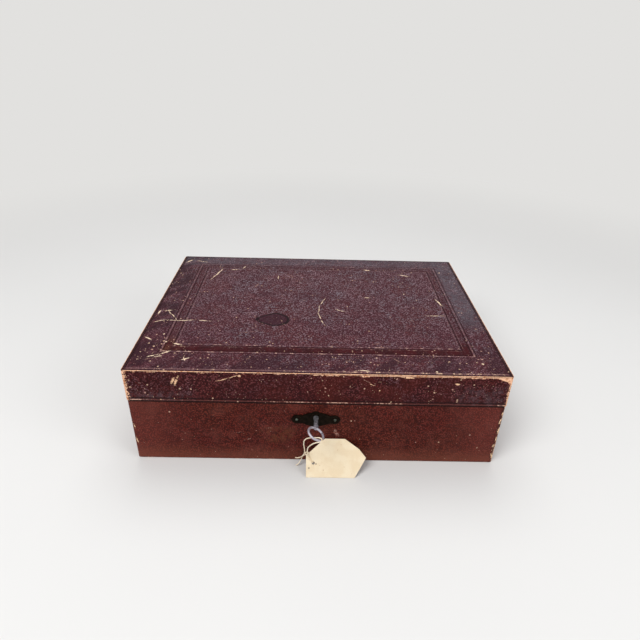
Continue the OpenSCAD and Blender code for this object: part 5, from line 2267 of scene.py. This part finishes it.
def standing(face: Face, middle: Sequence[float]) -> Matrix:
    """Stands a pad up as a wall lining that faces away from one side of the case.

    Args:
        face: The side that the pad's back lies on.
        middle: Middle of the pad's back in the frame, in millimetres.

    Returns:
        The matrix that takes the pad from its own plane to its wall.
    """
    turns = {Face.FRONT: 180.0, Face.BACK: 0.0, Face.LEFT: 90.0, Face.RIGHT: -90.0}
    upright = Matrix.Rotation(math.radians(90.0), 4, "X")
    return Matrix.Translation(middle) @ Matrix.Rotation(math.radians(turns[face]), 4, "Z") @ upright


@dataclass
class Interior:
    """What lines the case: silk on the walls, a velvet floor and a gathered silk pad in the lid.

    Attributes:
        card: Thickness of a wall's silk-covered card.
        pleat: Distance between two gathers of the lid's silk.
        pleat_depth: Depth of a gather.
        mirror: The mirror frame, whose edges the gathers run out from.
    """

    card: float = 1.2
    pleat: float = 6.4
    pleat_depth: float = 0.9
    mirror: Shape = field(init=False)

    def __post_init__(self) -> None:
        """Reads the mirror frame's size off the frame."""
        self.mirror = Shape.of("mirror_frame")

    def build(self) -> None:
        """Makes the soft linings and dresses the ledges."""
        silk = Silk("wall_silk_rose", "silk")
        velvet = Velvet("floor_velvet", "velvet")
        self._walls("base_lining_panels", "base_wall_lining", Body.BASE, silk)
        self._walls("lid_lining_panels", "lid_wall_lining", Body.LID, silk)
        self._floor(velvet)
        self._lid_pad(Silk("lid_silk_gathered", "silk", srgb(158, 82, 80), srgb(186, 122, 112)))
        dress_nodes(silk, "tray_ledges")

    def _walls(self, name: str, node: str, body: Body, finish: Finish) -> None:
        """Four silk-covered cards round the inside of the base or the lid.

        Args:
            name: The new piece's name.
            node: The CAD node that it stands for.
            body: The body that it moves with.
            finish: Its silk.
        """
        low, high = (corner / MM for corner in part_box(node))
        middle = (low + high) / 2
        tall = high.z - low.z
        panels = (
            (Face.FRONT, (middle.x, low.y, middle.z), high.x - low.x),
            (Face.BACK, (middle.x, high.y, middle.z), high.x - low.x),
            (Face.LEFT, (low.x, middle.y, middle.z), high.y - low.y - 2 * self.card),
            (Face.RIGHT, (high.x, middle.y, middle.z), high.y - low.y - 2 * self.card),
        )
        mould = Mould()
        for face, place, width in panels:
            panel = Cushion((width, tall), self.card, crown=0.25, draw=0.0, roll=0.5, step=9.0)
            panel.add(mould, standing(face, place))
        set_piece(mould.piece(name), finish, body, node)

    def _floor(self, velvet: Finish) -> None:
        """The velvet floor over its wadding.

        Args:
            velvet: The floor's finish.
        """
        low, high = (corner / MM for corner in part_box("base_floor_pad"))
        mould = Mould()
        pad = Cushion((high.x - low.x, high.y - low.y), high.z - low.z, crown=1.1, draw=0.8, roll=1.6)

        def sunk(x: float, y: float) -> float:
            """Hollows that have settled into the wadding."""
            return 0.25 * (1 + ripple(x, y, 0.0, 42.0, 5.0))

        pad.add(mould, Matrix.Translation(((low.x + high.x) / 2, (low.y + high.y) / 2, low.z)), sunk)
        piece = set_piece(mould.piece("floor_pad_velvet"), velvet, Body.BASE, "base_floor_pad")

    def _lid_pad(self, silk: Finish) -> None:
        """The lid's pad, its silk gathered between the mirror and the walls.

        Args:
            silk: The pad's finish.
        """
        low, high = (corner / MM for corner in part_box("lid_lining_pad"))
        middle = Vector(((low.x + high.x) / 2, (low.y + high.y) / 2, high.z))
        span = (high.x - low.x, high.y - low.y)
        pad = Cushion(span, high.z - low.z, crown=0.3, draw=0.4, roll=2.2, step=1.6)
        half_x = self.mirror.width / 2 - 4
        half_y = self.mirror.depth / 2 - 4

        def gathered(x: float, y: float) -> float:
            """The gathers, which run out from the mirror's frame and die away under it.

            Args:
                x: The place's distance from the middle across the pad.
                y: The same along it.

            Returns:
                How far the silk sinks there.
            """
            out_x, out_y = abs(x) - half_x, abs(y) - half_y
            out = max(out_x, out_y)
            along = y if out_x > out_y else x
            wander = 2.2 * ripple(x, y, 0.0, 26.0, 9.0)
            fold = 0.5 + 0.5 * math.sin(2 * math.pi * (along + wander) / self.pleat)
            return self.pleat_depth * fold * min(1.0, max(0.0, out / 7.0))

        mould = Mould()
        pad.add(mould, Matrix.Translation(middle) @ Matrix.Rotation(math.pi, 4, "X"), gathered)
        piece = set_piece(mould.piece("lid_pad_silk", 60.0), silk, Body.LID, "lid_lining_pad")


@dataclass
class Tray:
    """The lift-out tray: silk over thin board, velvet in its cells and two ribbon pulls.

    Attributes:
        ribbon: Thickness of a ribbon.
        loop: Radius of the loop that stands above the tray.
        slack: How far the ribbon's inner leg hangs away from the outer one.
    """

    ribbon: float = 0.5
    loop: float = 3.7
    slack: float = 0.7

    def build(self) -> None:
        """Dresses the tray's boards and makes its velvet floors and its ribbons."""
        dress_nodes(
            Silk("tray_silk_rose", "tray_silk", srgb(142, 64, 66), srgb(168, 96, 92)),
            "tray_bottom", "tray_walls", "tray_long_dividers", "tray_cross_dividers",
        )
        self._floors()
        self._ribbons()

    def _floors(self) -> None:
        """A velvet-covered card in each cell."""
        mould = Mould()
        for low, high in parts_of("tray_linings"):
            card = Cushion((high.x - low.x, high.y - low.y), high.z - low.z, 0.35, 0.2, 0.6, 7.0)
            card.add(mould, Matrix.Translation(((low.x + high.x) / 2, (low.y + high.y) / 2, low.z)))
        velvet = Velvet("tray_velvet", "velvet", pile=srgb(98, 22, 32), crushed=srgb(130, 44, 52))
        set_piece(mould.piece("tray_cell_velvets"), velvet, Body.TRAY, "tray_linings")

    def _ribbons(self) -> None:
        """Two ribbon loops, sewn inside the end walls."""
        low, high = (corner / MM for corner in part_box("tray_ribbon_pulls"))
        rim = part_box("tray_walls")[1].z / MM
        mould = Mould()
        for side in (-1.0, 1.0):
            outer = high.x - self.ribbon / 2
            middle = (outer - self.loop, rim)
            line = [(outer, low.z + (rim - low.z) * i / 6) for i in range(6)]
            line += arc(middle, self.loop, 0, 180, 14)
            foot = outer - self.ribbon - 0.1
            for i in range(1, 9):
                t = i / 8
                ease = t * t * (3 - 2 * t)
                bulge = self.slack * math.sin(math.pi * t)
                inner = outer - 2 * self.loop
                line.append((inner + (foot - inner) * ease - bulge, rim + (low.z + 1.0 - rim) * t))
            self._ribbon(mould, line, side, low.y, high.y)
        piece = mould.piece("tray_ribbon_loops", 50.0)
        finish = Silk("ribbon_silk", "ribbon", srgb(128, 44, 50), srgb(152, 70, 72), 0.7, 0.42)
        set_piece(piece, finish, Body.TRAY, "tray_ribbon_pulls")

    def _ribbon(self, mould: Mould, line: Sequence[Point], side: float, front: float, back: float) -> None:
        """One ribbon of even thickness along a line seen from the front.

        Args:
            mould: The mesh being made.
            line: X and height of the ribbon's middle.
            side: 1 for the right end of the tray, -1 for the left.
            front: Y of the ribbon's front edge.
            back: Y of its back edge.
        """
        walk = ((front, 0.6), (front + 0.8, 1.0), (back - 0.8, 1.0), (back, 0.6))
        half = self.ribbon / 2
        rings = []
        for i, (x, z) in enumerate(line):
            before, after = line[max(0, i - 1)], line[min(len(line) - 1, i + 1)]
            run = math.hypot(after[0] - before[0], after[1] - before[1])
            out_x, out_z = half * (after[1] - before[1]) / run, half * (before[0] - after[0]) / run
            outer = [(side * (x + out_x * edge), y, z + out_z * edge) for y, edge in walk]
            inner = [(side * (x - out_x * edge), y, z - out_z * edge) for y, edge in walk[::-1]]
            rings.append(outer + inner)
        mould.loft(rings)


@dataclass
class Mirror:
    """The lid's mirror in its mitred moulding."""

    def build(self) -> None:
        """Dresses the glass and its frame."""
        glass = Silvering("mirror_silvering", "mirror_silver", Shape.of("mirror_glass"))
        moulding = MitredWood(
            "polished_moulding", "moulding_wood", srgb(112, 62, 38), srgb(66, 32, 20), ring=1.8,
            roughness=0.34, coat=0.6, shape=Shape.of("mirror_frame"),
        )
        dress_nodes(glass, "mirror_glass")
        dress_nodes(moulding, "mirror_frame")


@dataclass
class Carcass:
    """The softwood boards that the leather covers, and the cloth under the case."""

    def build(self) -> None:
        """Dresses the boards, each with its grain along its length, and the cloth."""
        long_way = Wood("softwood_long", "board_wood")
        short_way = Wood("softwood_short", "board_wood", axis=Axis.Y)
        dress_nodes(
            long_way, "base_front_board", "base_back_board", "base_bottom_board", "lid_front_board",
            "lid_back_board", "lid_top_board",
        )
        sides = ("base_left_board", "base_right_board", "lid_left_board", "lid_right_board")
        dress_nodes(short_way, *sides)
        dress_nodes(BookCloth("book_cloth", "underside_cloth"), "underside_cover")


@dataclass
class Metalwork:
    """The hinges, the lock with its key, and the escutcheon."""

    def build(self) -> None:
        """Dresses every metal piece."""
        dress_nodes(
            Metal("aged_brass", "brass"), "left_hinge_base_leaf", "right_hinge_base_leaf",
            "left_hinge_lid_leaf", "right_hinge_lid_leaf", "left_hinge_pin", "right_hinge_pin",
            "lock_back_plate", "lock_cap", "lock_ward", "link_plate",
        )
        screws = Metal("rubbed_brass_screws", "brass", srgb(208, 176, 110), srgb(120, 90, 50), 0.35)
        dress_nodes(screws, "hinge_base_screws", "hinge_lid_screws", "lock_screws", "link_plate_screws")
        steel = Metal("dull_lock_steel", "lock_steel", srgb(158, 158, 160), srgb(92, 82, 72), 0.4)
        dress_nodes(steel, "lock_drill_pin", "lock_guide_studs", "lock_bolt")
        self._front()

    @staticmethod
    def _front() -> None:
        """Dresses what shows on the case's front: the blackened plate, its pins and the key."""
        plate = Metal(
            "blackened_plate", "blackened_brass", srgb(23, 14, 7), srgb(12, 7, 3), 0.7,
            roughness=0.5, metallic=0.0, shine=0.05,
        )
        dress_nodes(plate, "key_escutcheon")
        pins = Metal(
            "blackened_pins", "blackened_brass", srgb(80, 85, 75), srgb(38, 37, 30), 0.6,
            roughness=0.45, metallic=0.7,
        )
        dress_nodes(pins, "escutcheon_pins")
        key = KeySteel(
            "key_steel_worn", "key_steel", srgb(178, 171, 180), srgb(106, 98, 106), 0.5,
            roughness=0.48, metallic=0.6,
        )
        dress_nodes(key, "key")


@dataclass
class Studio:
    """The floor, the lights and the pale surroundings.

    Attributes:
        floor_size: Width of the floor in millimetres.
        sweep: Radius of the bend where the floor turns up behind.
        wall: Height of the backdrop.
        floor_back: Y of the backdrop.
        pale: Colour of the floor and the backdrop.
        sky: Strength of the light from all round.
        plain_from: How far from the case the paper starts to show at one tone, and does so wholly.
    """

    floor_size: float = 5200.0
    sweep: float = 700.0
    wall: float = 2600.0
    floor_back: float = 1900.0
    pale: Colour = srgb(226, 225, 223)
    sky: float = 0.42
    plain_from: Point = (420.0, 1100.0)

    def build(self) -> None:
        """Makes the floor, the lights and the world."""
        self._floor()
        self._world()
        self._lamp("window", (-700, -900, 1350), (0, 0, 60), 900, 17.0)
        self._lamp("fill", (900, -700, 700), (0, 0, 60), 800, 5.0)
        self._lamp("ceiling", (0, 500, 1500), (0, 0, 60), 1200, 9.0)

    def _floor(self) -> None:
        """A pale floor that turns up into a backdrop."""
        half = self.floor_size / 2
        bend = arc((self.floor_back - self.sweep, self.sweep), self.sweep, -90, 0, 16)
        section = [(-half, 0.0), (0.0, 0.0), *bend, (self.floor_back, self.wall)]
        mould = Mould()
        mould.rows([[(x, y, z) for x in (-half, half)] for y, z in section], False)
        floor = mould.piece("studio_floor", 60.0)
        paint = Paint("studio_paper")
        tone = paint.place().mottle(500.0, 2.0)
        colour = tone.between(self.pale, srgb(220, 219, 217))
        paint.finish(base_color=colour, roughness=0.9, specular_IOR_level=0.1)
        self._even_out(paint)
        floor.data.materials.append(paint.material)
        LOG.info("floor and backdrop are staged")

    def _even_out(self, paint: Paint) -> None:
        """Shows the paper at one even tone, away from the case and its shadow.

        Args:
            paint: The paper's material.
        """
        far = paint.place().length().rise(*self.plain_from)
        glow = paint.node("ShaderNodeEmission", None, {"Color": self.pale, "Strength": 1.0})
        shaders = {1: paint.shader.outputs[0], 2: glow.outputs[0]}
        mixed = paint.node("ShaderNodeMixShader", None, {0: paint.seen() * far, **shaders})
        paint.feed(paint.tree.nodes["Material Output"].inputs["Surface"], mixed.outputs[0])

    def _world(self) -> None:
        """An even sky that looks like the paper and lights softly."""
        paint = SkyPaint("studio_sky")
        seen = paint.seen()
        paint.feed(paint.shader.inputs["Color"], seen.between(srgb(236, 238, 242), self.pale))
        paint.feed(paint.shader.inputs["Strength"], seen * (1 - self.sky) + self.sky)

    @staticmethod
    def _lamp(name: str, place: Sequence[float], aim: Sequence[float], size: float, power: float) -> None:
        """A large soft lamp.

        Args:
            name: The lamp's name.
            place: Where it hangs, in millimetres.
            aim: What it points at, in millimetres.
            size: Its width in millimetres.
            power: Its power in watts.
        """
        data = bpy.data.lights.new(name, "AREA")
        data.shape = "DISK"
        data.size = size * MM
        data.energy = power
        turned = (metres(*aim) - metres(*place)).to_track_quat("-Z", "Y").to_matrix().to_4x4()
        placed(name, data).matrix_world = Matrix.Translation(metres(*place)) @ turned
        LOG.info("lamp %s at %.0f W", name, power)


def main() -> None:
    """Builds the looks of the whole case in order."""
    logging.basicConfig(level=logging.INFO, format="%(name)s: %(message)s")
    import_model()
    StudioCamera().build()
    CardLabel().build()
    for part in (LeatherCover(), Carcass(), Interior(), Tray(), Mirror(), Metalwork(), Studio()):
        part.build()


if __name__ == "__main__":
    main()
